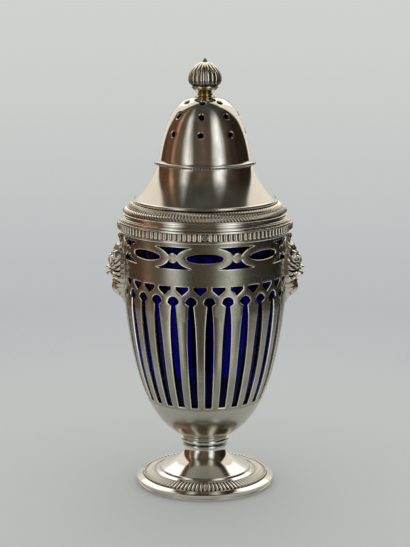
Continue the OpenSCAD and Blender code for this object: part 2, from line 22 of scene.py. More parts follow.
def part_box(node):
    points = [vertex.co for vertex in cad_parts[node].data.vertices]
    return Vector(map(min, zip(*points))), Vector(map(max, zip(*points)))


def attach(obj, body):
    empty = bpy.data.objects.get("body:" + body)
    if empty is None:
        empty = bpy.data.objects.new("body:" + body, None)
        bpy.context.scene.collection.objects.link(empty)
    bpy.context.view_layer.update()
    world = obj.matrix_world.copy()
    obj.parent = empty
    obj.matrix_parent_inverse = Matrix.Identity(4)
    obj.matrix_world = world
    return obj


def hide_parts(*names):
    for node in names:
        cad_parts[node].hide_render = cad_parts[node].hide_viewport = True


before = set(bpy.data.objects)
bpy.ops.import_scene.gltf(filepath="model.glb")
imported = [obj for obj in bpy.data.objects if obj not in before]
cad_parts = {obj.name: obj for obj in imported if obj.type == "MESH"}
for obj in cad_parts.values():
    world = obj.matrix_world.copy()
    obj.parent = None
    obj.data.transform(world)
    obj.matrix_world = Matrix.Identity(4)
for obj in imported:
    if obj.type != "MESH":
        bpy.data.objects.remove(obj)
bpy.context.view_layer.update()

MM = 0.001
LOG = logging.getLogger("sugar_caster")

# Lengths in millimetres that count as nought, and edges in metres that are dissolved
TINY, SLIVER = 1e-6, 1e-7
# Sockets of the Mix node by number, for colours and then for plain values
MIX_FACTOR, MIX_A, MIX_B, MIX_RESULT = 0, 6, 7, 2
FLOAT_A, FLOAT_B = 2, 3
# How dark the oxidised grounds are, which the painted shade in hollows, valleys and inside the dome also
# takes, and the painted shade on the flanks of tongues and beads
GROUND, FLANK_SHADE = 0.9, 0.85
# Angles above which an edge stays sharp, on a whole ornament and on one of its repeated shapes
ORNAMENT_CREASE, POD_CREASE = 60.0, 50.0
# Points of pierced panels nearer than this are welded
PANEL_WELD_MM = 0.02

Array = np.ndarray
Numbers = Sequence[float]
Point = tuple[float, float]
Path = list[Point]
Mesh = bpy.types.Mesh
Material = bpy.types.Material
Tree = bpy.types.NodeTree
Socket = bpy.types.NodeSocket


class Body(Enum):
    """The caster's three bodies."""

    FRAME = "frame"
    GLASS = "glass"
    COVER = "cover"


class Slot(Enum):
    """The record's material slots."""

    POLISHED = "polished_silver"
    SATIN = "satin_silver"
    ORNAMENT = "ornament_silver"
    WARM = "warm_silver"
    GLASS = "cobalt_glass"


class Mark(Enum):
    """What a face can be marked as: brightened by polish and wear together with a painted highlight, and
    darkened by oxidised patina together with painted shade.
    """

    BURNISH = "burnish"
    OXIDE = "oxide"


# Frame
def low(node: str) -> float:
    """Height of a CAD node's lowest point, in millimetres."""
    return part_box(node)[0].z / MM


def high(node: str) -> float:
    """Height of a CAD node's highest point, in millimetres."""
    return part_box(node)[1].z / MM


def radius(node: str) -> float:
    """Largest radius of a turned CAD node, in millimetres."""
    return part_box(node)[1].x / MM


def reach_back(node: str) -> float:
    """How far a CAD node reaches to the back, in millimetres."""
    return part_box(node)[1].y / MM


# Nodes
def linear(code: str) -> tuple[float, float, float, float]:
    """Turn an sRGB hex colour to linear light.

    Args:
        code: Six hex digits with a hash before them.

    Returns:
        Red, green, blue and an alpha of one.
    """
    parts = [int(code[i:i + 2], 16) / 255 for i in (1, 3, 5)]
    light = [c / 12.92 if c <= 0.04045 else ((c + 0.055) / 1.055) ** 2.4 for c in parts]
    return (light[0], light[1], light[2], 1.0)


def add_node(tree: Tree, kind: str, settings: dict | None = None,
             links: dict | None = None) -> bpy.types.Node:
    """Add a node to a tree, set it up and link its inputs.

    Args:
        tree: The tree that takes the node.
        kind: The node's type.
        settings: Values by the node's attribute, or by its input's name or index.
        links: Source sockets by the input's name or index.

    Returns:
        The new node.
    """
    node = tree.nodes.new(kind)
    for key, value in (settings or {}).items():
        if isinstance(key, str) and hasattr(node, key):
            setattr(node, key, value)
        else:
            node.inputs[key].default_value = value
    for key, socket in (links or {}).items():
        tree.links.new(socket, node.inputs[key])
    return node


def reckoned(tree: Tree, operation: str, *values: Socket | float) -> Socket:
    """Work a value out with a Math node.

    Args:
        tree: The tree that takes the node.
        operation: What it works out.
        values: Its inputs in order, each a socket or a number.

    Returns:
        The result's socket.
    """
    numbers = {i: value for i, value in enumerate(values) if isinstance(value, (int, float))}
    links = {i: value for i, value in enumerate(values) if i not in numbers}
    return add_node(tree, "ShaderNodeMath", {"operation": operation, **numbers}, links).outputs[0]


def mapped(tree: Tree, value: Socket, start: float, end: float, first: float = 0.0, last: float = 1.0,
           eased: bool = False) -> Socket:
    """Turn one range of values into another.

    Args:
        tree: The tree that takes the node.
        value: The socket that gives the value.
        start: Where the range begins.
        end: Where it ends.
        first: What its beginning becomes.
        last: What its end becomes.
        eased: Whether it starts and ends gently.

    Returns:
        The result's socket.
    """
    return add_node(tree, "ShaderNodeMapRange", {
        "interpolation_type": "SMOOTHSTEP" if eased else "LINEAR", "From Min": start, "From Max": end,
        "To Min": first, "To Max": last}, {"Value": value}).outputs[0]


def blended(tree: Tree, share: Socket, under: Socket | str, over: Socket | str) -> Socket:
    """Mix two colours.

    Args:
        tree: The tree that takes the node.
        share: The socket that gives the second colour's share.
        under: The first colour, as a socket or in hex.
        over: The second colour, as a socket or in hex.

    Returns:
        The mixed colour's socket.
    """
    ends = {MIX_A: under, MIX_B: over}
    plain = {key: linear(value) for key, value in ends.items() if isinstance(value, str)}
    links = {key: value for key, value in ends.items() if key not in plain}
    node = add_node(tree, "ShaderNodeMix", {"data_type": "RGBA", **plain}, {MIX_FACTOR: share, **links})
    return node.outputs[MIX_RESULT]


def blank_material(name: str) -> Material:
    """Make a material whose tree is still empty.

    Args:
        name: The material's name.

    Returns:
        The material.
    """
    material = bpy.data.materials.new(name)
    material.use_nodes = True
    material.node_tree.nodes.clear()
    return material


# Finishes
@dataclass(frozen=True)
class Silver:
    """Sterling silver: a warm white metal under a thin film of tarnish, black only in its recesses, where
    tarnish and painted shade lie together.
    """

    name: str
    slot: Slot
    colour: str
    film: str
    film_share: float
    film_mm: float
    roughness: float
    haze: float
    # Colour of darkened recesses and of faces marked dark: tarnish and oxidised patina together with painted
    # shade
    recess: str
    recess_mm: float
    recess_share: float
    grain_mm: tuple[float, float]
    grain_depth_mm: float
    # Colour of faces marked bright: clean worn silver together with a painted highlight
    burnish: str = "#f2ecdf"
    burnish_roughness: float = 0.12
    # Levels of the clouds between which the film and the haze grow, and of openness where a recess blackens
    film_levels: Point = (0.38, 0.72)
    haze_levels: Point = (0.3, 0.7)
    recess_levels: Point = (0.8, 0.3)

    def material(self) -> Material:
        """Build the silver's material.

        Returns:
            A metal whose tarnish lies in clouds and, with painted shade, in recesses, whose marked faces take
            a painted highlight and painted shade, with the grain its polishing left.
        """
        material = blank_material(self.name)
        tree = material.node_tree
        place = add_node(tree, "ShaderNodeTexCoord").outputs["Object"]
        clouds = add_node(tree, "ShaderNodeTexNoise", {
            "Scale": 1 / (self.film_mm * MM), "Detail": 5.0, "Roughness": 0.62}, {"Vector": place}).outputs[0]
        film = mapped(tree, clouds, *self.film_levels, 0.0, self.film_share)
        tone = blended(tree, film, self.colour, self.film)
        # Ambient occlusion darkens the recesses: tarnish there together with painted shade
        crevice = add_node(tree, "ShaderNodeAmbientOcclusion", {
            "samples": 6, "only_local": True, "Distance": self.recess_mm * MM})
        depth = mapped(tree, crevice.outputs["AO"], *self.recess_levels, 0.0, self.recess_share)
        # Faces marked dark take the recess colour: oxidised grounds, and painted shade on flanks, valleys,
        # hollows and the inside of the dome
        oxide = add_node(tree, "ShaderNodeAttribute", {"attribute_name": Mark.OXIDE.value}).outputs["Fac"]
        colour = blended(tree, reckoned(tree, "MAXIMUM", depth, oxide), tone, self.recess)
        gloss = mapped(tree, clouds, *self.haze_levels, self.roughness - self.haze,
                       self.roughness + self.haze)
        along, across = self.grain_mm
        stretched = add_node(tree, "ShaderNodeMapping", {
            "Scale": (1 / (along * MM), 1 / (along * MM), 1 / (across * MM))}, {"Vector": place})
        grain = add_node(tree, "ShaderNodeTexNoise", {"Scale": 1.0, "Detail": 3.0},
                         {"Vector": stretched.outputs[0]})
        bump = add_node(tree, "ShaderNodeBump", {
            "Strength": 0.5, "Distance": self.grain_depth_mm * MM}, {"Height": grain.outputs[0]})
        # Faces marked bright take a lighter colour as a painted highlight, with the lower roughness of
        # polished and worn silver
        rubbed_and_highlit = add_node(tree, "ShaderNodeAttribute", {"attribute_name": Mark.BURNISH.value}).outputs["Fac"]
        smooth = add_node(tree, "ShaderNodeMix", {"data_type": "FLOAT", FLOAT_B: self.burnish_roughness},
                          {MIX_FACTOR: rubbed_and_highlit, FLOAT_A: gloss})
        metal = add_node(tree, "ShaderNodeBsdfPrincipled", {"Metallic": 1.0}, {
            "Base Color": blended(tree, rubbed_and_highlit, colour, self.burnish), "Roughness": smooth.outputs[0],
            "Normal": bump.outputs[0]})
        add_node(tree, "ShaderNodeOutputMaterial", None, {"Surface": metal.outputs[0]})
        return material


@dataclass(frozen=True)
class CobaltGlass:
    """Blown glass stained with cobalt: almost black in depth, royal blue where light comes through."""

    name: str = "blown cobalt glass"
    slot: Slot = Slot.GLASS
    colour: str = "#252ec0"
    dense: str = "#0e1368"
    glint: str = "#2028a0"
    roughness: float = 0.03
    refraction: float = 1.52
    cloud_mm: float = 14.0
    wave_mm: float = 9.0
    wave_depth_mm: float = 0.05

    def material(self) -> Material:
        """Build the glass, with the slow waves and uneven stain of blown work.

        Returns:
            The material.
        """
        material = blank_material(self.name)
        tree = material.node_tree
        place = add_node(tree, "ShaderNodeTexCoord").outputs["Object"]
        clouds = add_node(tree, "ShaderNodeTexNoise", {"Scale": 1 / (self.cloud_mm * MM), "Detail": 2.0},
                          {"Vector": place})
        stain = blended(tree, clouds.outputs[0], self.colour, self.dense)
        waves = add_node(tree, "ShaderNodeTexNoise", {"Scale": 1 / (self.wave_mm * MM), "Detail": 1.0},
                         {"Vector": place})
        bump = add_node(tree, "ShaderNodeBump", {
            "Strength": 0.6, "Distance": self.wave_depth_mm * MM}, {"Height": waves.outputs[0]})
        glass = add_node(tree, "ShaderNodeBsdfPrincipled", {
            "Roughness": self.roughness, "IOR": self.refraction, "Specular Tint": linear(self.glint),
            "Transmission Weight": 1.0}, {"Base Color": stain, "Normal": bump.outputs[0]})
        add_node(tree, "ShaderNodeOutputMaterial", None, {"Surface": glass.outputs[0]})
        return material


@dataclass(frozen=True)
class Finishes:
    """The caster's finishes, each made once."""

    # Buffed bright: near-mirror reflections with a faint brown film and the slow ripple of hand spinning.
    polished: Silver = Silver(
        "polished silver", Slot.POLISHED, colour="#e9e7e1", film="#bda887", film_share=0.3, film_mm=16.0,
        roughness=0.11, haze=0.03, recess="#2e261d", recess_mm=1.2, recess_share=0.75,
        grain_mm=(11.0, 7.0), grain_depth_mm=0.012)
    # Brushed round the body: soft reflections drawn out by fine lines. The real lines are about
    # 0.05 mm apart, too fine to show, so they are drawn 0.35 mm apart.
    satin: Silver = Silver(
        "satin brushed silver", Slot.SATIN, colour="#b0aea2", film="#827e6e", film_share=0.5, film_mm=13.0,
        roughness=0.27, haze=0.05, recess="#2a241c", recess_mm=1.0, recess_share=0.25,
        grain_mm=(16.0, 0.35), grain_depth_mm=0.010)
    # Cast, chased and milled work: worn tops brightened with a painted highlight, hollows black with sulphide
    # and painted shade.
    cast: Silver = Silver(
        "cast silver, dark in the recesses", Slot.ORNAMENT, colour="#e4dfd4", film="#a3947b", film_share=0.35,
        film_mm=6.0, roughness=0.2, haze=0.05, recess="#1d1712", recess_mm=1.3, recess_share=0.95,
        grain_mm=(1.2, 1.2), grain_depth_mm=0.005, burnish_roughness=0.14)
    # Worn gilding over silver: a pale brassy yellow.
    gilt: Silver = Silver(
        "worn silver gilt", Slot.WARM, colour="#bfae84", film="#86744a", film_share=0.4, film_mm=5.0,
        roughness=0.2, haze=0.05, recess="#2b2010", recess_mm=1.2, recess_share=0.7,
        grain_mm=(3.0, 0.4), grain_depth_mm=0.008)
    glass: CobaltGlass = CobaltGlass()


# Outlines
def curve(a: Point, b: Point, c: Point, d: Point, steps: int = 24) -> Path:
    """Points of a cubic curve from a to d, drawn towards b and c.

    Args:
        a: Start.
        b: First control point.
        c: Second control point.
        d: End.
        steps: Number of stretches.

    Returns:
        The points, both ends included.
    """
    t = np.linspace(0, 1, steps + 1)[:, None]
    s = 1 - t
    points = (s ** 3 * np.array(a) + 3 * s * s * t * np.array(b)
              + 3 * s * t * t * np.array(c) + t ** 3 * np.array(d))
    return [(float(x), float(y)) for x, y in points]


def arc(centre: Point, size: float, start: float, end: float, steps: int = 10) -> Path:
    """Points of a circular arc.

    Args:
        centre: Its centre.
        size: Its radius.
        start: Angle of the first point.
        end: Angle of the last point.
        steps: Number of stretches.

    Returns:
        The points, both ends included.
    """
    return [(centre[0] + size * math.cos(a), centre[1] + size * math.sin(a))
            for a in np.radians(np.linspace(start, end, steps + 1))]


def inset(path: Sequence[Point], distance: float) -> Path:
    """Move a path to its left, with mitred corners.

    Args:
        path: The points.
        distance: How far it moves.

    Returns:
        The moved points.
    """
    p = np.array(path, float)
    way = np.diff(p, axis=0)
    way /= np.linalg.norm(way, axis=1)[:, None]
    side = np.stack([-way[:, 1], way[:, 0]], axis=1)
    before, after = np.vstack([side[:1], side]), np.vstack([side, side[-1:]])
    mitre = (before + after) / (1 + (before * after).sum(axis=1))[:, None]
    return [(float(x), float(y)) for x, y in p + distance * mitre]


def softened(loop: Sequence[Point], size: float, sharpest: float = 24.0, most: float = 0.45,
             steps: int = 4) -> Path:
    """Round the corners of a closed outline, as handling and polishing do.

    Args:
        loop: The outline's points. Points on the axis stay as they are.
        size: Radius of the rounding, or less where a stretch is short.
        sharpest: Corners that turn by less than this angle are left alone.
        most: Largest share of a stretch that a rounding takes.
        steps: Number of stretches in a rounding.

    Returns:
        The rounded outline.
    """
    out: Path = []
    for i, corner in enumerate(loop):
        back, here, on = (np.array(loop[i - 1]), np.array(corner), np.array(loop[(i + 1) % len(loop)]))
        to_back, to_on = back - here, on - here
        length_back, length_on = np.linalg.norm(to_back), np.linalg.norm(to_on)
        to_back, to_on = to_back / length_back, to_on / length_on
        turn = math.degrees(math.acos(float(np.clip(-to_back @ to_on, -1, 1))))
        if corner[0] < TINY or turn < sharpest:
            out.append((float(corner[0]), float(corner[1])))
            continue
        reach = min(size * math.tan(math.radians(turn) / 2), most * length_back, most * length_on)
        first, last = here + reach * to_back, here + reach * to_on
        for t in np.linspace(0, 1, steps + 1):
            point = (1 - t) ** 2 * first + 2 * t * (1 - t) * here + t * t * last
            out.append((float(point[0]), float(point[1])))
    return out


# Meshes
def new_mesh(name: str, points: Array, faces: Sequence[Sequence[int]]) -> Mesh:
    """Make a mesh from points in millimetres.

    Args:
        name: The mesh's name.
        points: Its vertices.
        faces: Its faces.

    Returns:
        The mesh, in metres.
    """
    mesh = bpy.data.meshes.new(name)
    mesh.from_pydata((np.asarray(points, float) * MM).tolist(), [], [list(map(int, f)) for f in faces])
    return mesh


def closed_up(mesh: Mesh, crease: float = 32.0, weld_mm: float = 0.003) -> Mesh:
    """Weld a mesh's doubles, turn its faces outwards and shade it smooth between its creases.

    Args:
        mesh: The mesh to finish.
        crease: Angle above which an edge stays sharp.
        weld_mm: Points nearer than this are welded.

    Returns:
        The same mesh.
    """
    work = bmesh.new()
    work.from_mesh(mesh)
    bmesh.ops.remove_doubles(work, verts=work.verts, dist=weld_mm * MM)
    bmesh.ops.dissolve_degenerate(work, edges=work.edges, dist=SLIVER)
    bmesh.ops.recalc_face_normals(work, faces=work.faces)
    work.to_mesh(mesh)
    work.free()
    mesh.shade_smooth()
    mesh.set_sharp_from_angle(angle=math.radians(crease))
    return mesh


def marked(mesh: Mesh, mark: Mark, shares: Numbers) -> Mesh:
    """Mark how far each face takes a mark, brightening with a painted highlight and darkening with oxidised
    patina and painted shade, for its finish to read.

    Args:
        mesh: The mesh.
        mark: What is marked.
        shares: A share for each face, or one share for them all.

    Returns:
        The same mesh.
    """
    layer = mesh.attributes.new(mark.value, "FLOAT", "FACE")
    layer.data.foreach_set("value", np.resize(np.array(shares, np.float32), len(mesh.polygons)))
    return mesh


def oxidised(mesh: Mesh, inner: float, outer: float, bottom: float, top: float) -> Mesh:
    """Mark the ground behind an ornament as oxidised.

    Args:
        mesh: The spun mesh.
        inner: Least radius of the ground.
        outer: Largest radius of it.
        bottom: Its lowest height.
        top: Its highest height.

    Returns:
        The same mesh.
    """
    shares = []
    for face in mesh.polygons:
        x, y, z = face.center / MM
        shares.append(GROUND * (inner < math.hypot(x, y) < outer and bottom < z < top))
    return marked(mesh, Mark.OXIDE, shares)


def lathe(name: str, outline: Sequence[Point], closed: bool = True, segments: int = 192,
          turn: float = 0.0) -> Mesh:
    """Spin an outline about the axis.

    Args:
        name: The mesh's name.
        outline: Points of (radius, height). Points on the axis become poles.
        closed: Whether the last point joins the first.
        segments: Facets round the axis.
        turn: Angle of the first vertex from the front.

    Returns:
        The spun mesh.
    """
    angles = np.radians(turn - 90 + np.arange(segments) * 360 / segments)
    points: list[tuple[float, float, float]] = []
    rings: list[list[int]] = []
    for r, z in outline:
        start = len(points)
        if r < TINY:
            points.append((0, 0, z))
            rings.append([start] * segments)
        else:
            points += [(r * math.cos(a), r * math.sin(a), z) for a in angles]
            rings.append(list(range(start, start + segments)))
    pairs = list(zip(rings, rings[1:]))
    if closed and not (outline[0][0] < TINY and outline[-1][0] < TINY):
        pairs.append((rings[-1], rings[0]))
    faces = []
    for a, b in pairs:
        for k in range(segments):
            n = (k + 1) % segments
            face = list(dict.fromkeys((a[k], a[n], b[n], b[k])))
            if len(face) > 2:
                faces.append(face)
    return new_mesh(name, np.array(points), faces)


def joined(name: str, *meshes: Mesh) -> Mesh:
    """Put several meshes into one.

    Args:
        name: The new mesh's name.
        meshes: The meshes, which are used up.

    Returns:
        The mesh that holds them all.
    """
    work = bmesh.new()
    for mesh in meshes:
        work.from_mesh(mesh)
        bpy.data.meshes.remove(mesh)
    out = bpy.data.meshes.new(name)
    work.to_mesh(out)
    work.free()
    return out


def tube_faces(rows: int, around: int) -> list[list[int]]:
    """Quads between rows of points, where each row closes on itself."""
    return [[i * around + k, i * around + (k + 1) % around, (i + 1) * around + (k + 1) % around,
             (i + 1) * around + k] for i in range(rows - 1) for k in range(around)]


def half_round(name: str, line: Array, half_widths: Numbers, heights: Numbers,
               across: Array, rise: Array, around: int) -> tuple[Mesh, list[bool]]:
    """Close half-round sections along a line into a mesh.

    Args:
        name: The mesh's name.
        line: Points of (x, y, z) along the middle of its foot.
        half_widths: Half width at each point.
        heights: Height at each point.
        across: Direction across it at each point.
        rise: Direction in which it rises at each point.
        around: Points in each section.

    Returns:
        The mesh, and for each face whether it lies low, as the flanks, the foot and the ends do.
    """
    bend = np.linspace(0, math.pi, around)
    points = [line[i] + half_widths[i] * math.cos(t) * across[i] + heights[i] * math.sin(t) * rise[i]
              for i in range(len(line)) for t in bend]
    last = (len(line) - 1) * around
    faces = tube_faces(len(line), around) + [list(range(around))[::-1], list(range(last, last + around))]
    low_lying = [k in (0, around - 2, around - 1) for _ in line[1:] for k in range(around)] + [True, True]
    return new_mesh(name, np.array(points), faces), low_lying


def pod(name: str, spine: Sequence[Numbers], half_widths: Numbers, heights: Numbers,
        up: Numbers, around: int = 5, sides: float = 0.0, tops: float = 0.0) -> Mesh:
    """Build a tongue, leaf, reed or bead: half-round sections along a spine.

    Args:
        name: The mesh's name.
        spine: Points of (x, y, z) along the middle of its foot.
        half_widths: Half width at each point.
        heights: Height at each point.
        up: Direction in which it rises.
        around: Points in each half-round section.
        sides: How much painted shade its sides, foot and ends take.
        tops: How far its top is brightened, by wear together with a painted highlight.

    Returns:
        The mesh.
    """
    line, rise = np.array(spine, float), np.array(up, float) / np.linalg.norm(up)
    across = np.cross(np.gradient(line, axis=0), rise)
    across /= np.linalg.norm(across, axis=1)[:, None]
    rises = np.tile(rise, (len(line), 1))
    mesh, low_lying = half_round(name, line, half_widths, heights, across, rises, around)
    marked(mesh, Mark.OXIDE, [sides * is_low for is_low in low_lying])
    marked(mesh, Mark.BURNISH, [tops * (not is_low) for is_low in low_lying])
    return closed_up(mesh, POD_CREASE)


# Rings of repeated shapes
@dataclass
class Ring:
    """A shape repeated round the axis, which may leave a gap at front and back and sway by chance."""

    unit: Mesh
    count: int
    turn: float = 0.0
    gap: float = 0.0
    sway: float = 0.0
    seed: int = 7
    weld_mm: float = 0.004


class RingMaker:
    """Lays repeated shapes round a core with a Geometry Nodes tree."""

    inputs: ClassVar[dict[str, str]] = {
        "Unit": "NodeSocketObject", "Count": "NodeSocketInt", "Turn": "NodeSocketFloat",
        "Gap": "NodeSocketFloat", "Sway": "NodeSocketFloat", "Seed": "NodeSocketInt",
        "Weld": "NodeSocketFloat", "Material": "NodeSocketMaterial"}

    def __init__(self) -> None:
        """Build the tree that every ring shares."""
        tree = bpy.data.node_groups.new("ring of repeated shapes", "GeometryNodeTree")
        tree.interface.new_socket("Geometry", in_out="OUTPUT", socket_type="NodeSocketGeometry")
        tree.interface.new_socket("Core", in_out="INPUT", socket_type="NodeSocketGeometry")
        for name, kind in self.inputs.items():
            tree.interface.new_socket(name, in_out="INPUT", socket_type=kind)
        given = add_node(tree, "NodeGroupInput").outputs
        points = add_node(tree, "GeometryNodePoints", None, {"Count": given["Count"]})
        index = add_node(tree, "GeometryNodeInputIndex")
        share = reckoned(tree, "DIVIDE", index.outputs[0], given["Count"])
        angle = reckoned(tree, "MULTIPLY_ADD", share, math.tau, given["Turn"])
        chance = add_node(tree, "FunctionNodeRandomValue", {"data_type": "FLOAT", 2: -1.0, 3: 1.0},
                          {"Seed": given["Seed"]})
        swayed = reckoned(tree, "MULTIPLY_ADD", chance.outputs[1], given["Sway"], angle)
        aim = add_node(tree, "ShaderNodeCombineXYZ", None, {"Z": swayed})
        # Angles count from the front, so the sine is nought at the front and at the back
        off_seam = reckoned(tree, "ABSOLUTE", reckoned(tree, "SINE", angle))
        kept = add_node(tree, "FunctionNodeCompare", {"data_type": "FLOAT", "operation": "GREATER_EQUAL"},
                        {0: off_seam, 1: given["Gap"]})
        unit = add_node(tree, "GeometryNodeObjectInfo", None, {"Object": given["Unit"]})
        laid = add_node(tree, "GeometryNodeInstanceOnPoints", None, {
            "Points": points.outputs[0], "Selection": kept.outputs[0],
            "Instance": unit.outputs["Geometry"], "Rotation": aim.outputs[0]})
        real = add_node(tree, "GeometryNodeRealizeInstances", None, {"Geometry": laid.outputs[0]})
        both = add_node(tree, "GeometryNodeJoinGeometry", None, {"Geometry": given["Core"]})
        tree.links.new(real.outputs[0], both.inputs[0])
        weld = add_node(tree, "GeometryNodeMergeByDistance", None,
                        {"Geometry": both.outputs[0], "Distance": given["Weld"]})
        painted = add_node(tree, "GeometryNodeSetMaterial", None,
                           {"Geometry": weld.outputs[0], "Material": given["Material"]})
        add_node(tree, "NodeGroupOutput", None, {0: painted.outputs[0]})
        self.tree = tree

    def lay(self, name: str, core: Mesh, material: Material, *rings: Ring) -> Mesh:
        """Lay rings on a core and turn the result into a plain mesh.

        Args:
            name: The new mesh's name.
            core: What the rings sit on.
            material: The finish of the whole.
            rings: The rings to lay.

        Returns:
            The mesh.
        """
        scene = bpy.context.scene.collection
        holder = bpy.data.objects.new(name, core)
        scene.objects.link(holder)
        units = []
        for ring in rings:
            unit = bpy.data.objects.new(ring.unit.name, ring.unit)
            scene.objects.link(unit)
            units.append(unit)
            values = {"Unit": unit, "Count": ring.count, "Turn": math.radians(ring.turn),
                      "Gap": math.sin(math.radians(ring.gap)), "Sway": math.radians(ring.sway),
                      "Seed": ring.seed, "Weld": ring.weld_mm * MM, "Material": material}
            layer = holder.modifiers.new(ring.unit.name, "NODES")
            layer.node_group = self.tree
            for item in self.tree.interface.items_tree:
                if item.in_out == "INPUT" and item.name in values:
                    layer[item.identifier] = values[item.name]
        graph = bpy.context.evaluated_depsgraph_get()
        mesh = bpy.data.meshes.new_from_object(holder.evaluated_get(graph))
        holder.modifiers.clear()
        for spare in [holder, *units]:
            bpy.data.objects.remove(spare)
        mesh.name = name
        return mesh


# Pierced sheet
class Profile:
    """The outer face of a spun shell, measured along its way from the bottom up."""

    def __init__(self, path: Sequence[Point]) -> None:
        """Measure the path.

        Args:
            path: Points of (radius, height), from the bottom up.
        """
        points = np.array(path, float)
        step = np.linalg.norm(np.diff(points, axis=0), axis=1)
        points = points[np.concatenate([[True], step > TINY])]
        self.r, self.z = points[:, 0], points[:, 1]
        self.way = np.concatenate([[0], np.cumsum(np.hypot(np.diff(self.r), np.diff(self.z)))])
        self.length = float(self.way[-1])
        self.tr, self.tz = np.gradient(self.r, self.way), np.gradient(self.z, self.way)

    def way_at(self, z: float | Array) -> Array:
        """How far along the way a height lies."""
        return np.interp(z, self.z, self.way)

    def radius_at(self, z: float | Array) -> Array:
        """Radius of the face at a height."""
        return np.interp(z, self.z, self.r)

    def radius_along(self, way: float) -> float:
        """Radius of the face at a distance along the way."""
        return float(np.interp(way, self.way, self.r))

    def place(self, turn: Array, way: Array, depth: float) -> Array:
        """Points of the shell in space.

        Args:
            turn: Angles from the front, in radians.
            way: Distances along the way.
            depth: Depth below the outer face.

        Returns:
            The points, one to a row.
        """
        tr, tz = np.interp(way, self.way, self.tr), np.interp(way, self.way, self.tz)
        length = np.hypot(tr, tz)
        r = np.interp(way, self.way, self.r) - depth * tz / length
        z = np.interp(way, self.way, self.z) + depth * tr / length
        return np.stack([r * np.sin(turn), -r * np.cos(turn), z], axis=1)

    def stretch(self, start: float, end: float, depth: float = 0.0, steps: int = 30) -> Path:
        """Points of (radius, height) along a part of the way.

        Args:
            start: Distance along the way where they begin.
            end: Distance where they end.
            depth: Depth below the outer face.
            steps: How many stretches they make.

        Returns:
            The points.
        """
        points = self.place(np.full(steps + 1, math.pi / 2), np.linspace(start, end, steps + 1), depth)
        return [(float(p[0]), float(p[2])) for p in points]


def grown(loop: Array, distance: float) -> Array:
    """Enlarge a closed outline by moving every side outwards.

    Args:
        loop: The outline's points, one to a row.
        distance: How far its sides move.

    Returns:
        The enlarged outline, point for point.
    """
    narrowest = 0.4
    on = np.roll(loop, -1, axis=0)
    area = float(np.sum(loop[:, 0] * on[:, 1] - on[:, 0] * loop[:, 1]))
    way = on - loop
    way /= np.maximum(np.linalg.norm(way, axis=1), TINY)[:, None]
    normal = np.stack([way[:, 1], -way[:, 0]], axis=1) * math.copysign(1, area)
    before = np.roll(normal, 1, axis=0)
    spread = np.maximum(1 + (before * normal).sum(axis=1), narrowest)
    return loop + distance * (before + normal) / spread[:, None]


def within(points: Array, loop: Array) -> Array:
    """Which points lie inside a closed outline.

    Args:
        points: The points, one to a row.
        loop: The outline.

    Returns:
        True for each point inside.
    """
    x, y = points[:, 0][:, None], points[:, 1][:, None]
    ax, ay = loop[:, 0][None], loop[:, 1][None]
    bx, by = np.roll(loop[:, 0], -1)[None], np.roll(loop[:, 1], -1)[None]
    spans = (ay > y) != (by > y)
    cut = ax + (y - ay) * (bx - ax) / np.where(by == ay, 1, by - ay)
    return (spans & (x < cut)).sum(axis=1) % 2 == 1


def divided(path: Sequence[Point], longest: float) -> Path:
    """Divide the stretches of an open path so that none is longer than a given length.

    Args:
        path: The points.
        longest: The length.

    Returns:
        The points with the new ones between them.
    """
    out: Path = [path[0]]
    for a, b in zip(path, path[1:]):
        count = max(1, math.ceil(math.dist(a, b) / longest))
        out += [(a[0] + (b[0] - a[0]) * k / count, a[1] + (b[1] - a[1]) * k / count)
                for k in range(1, count + 1)]
    return out


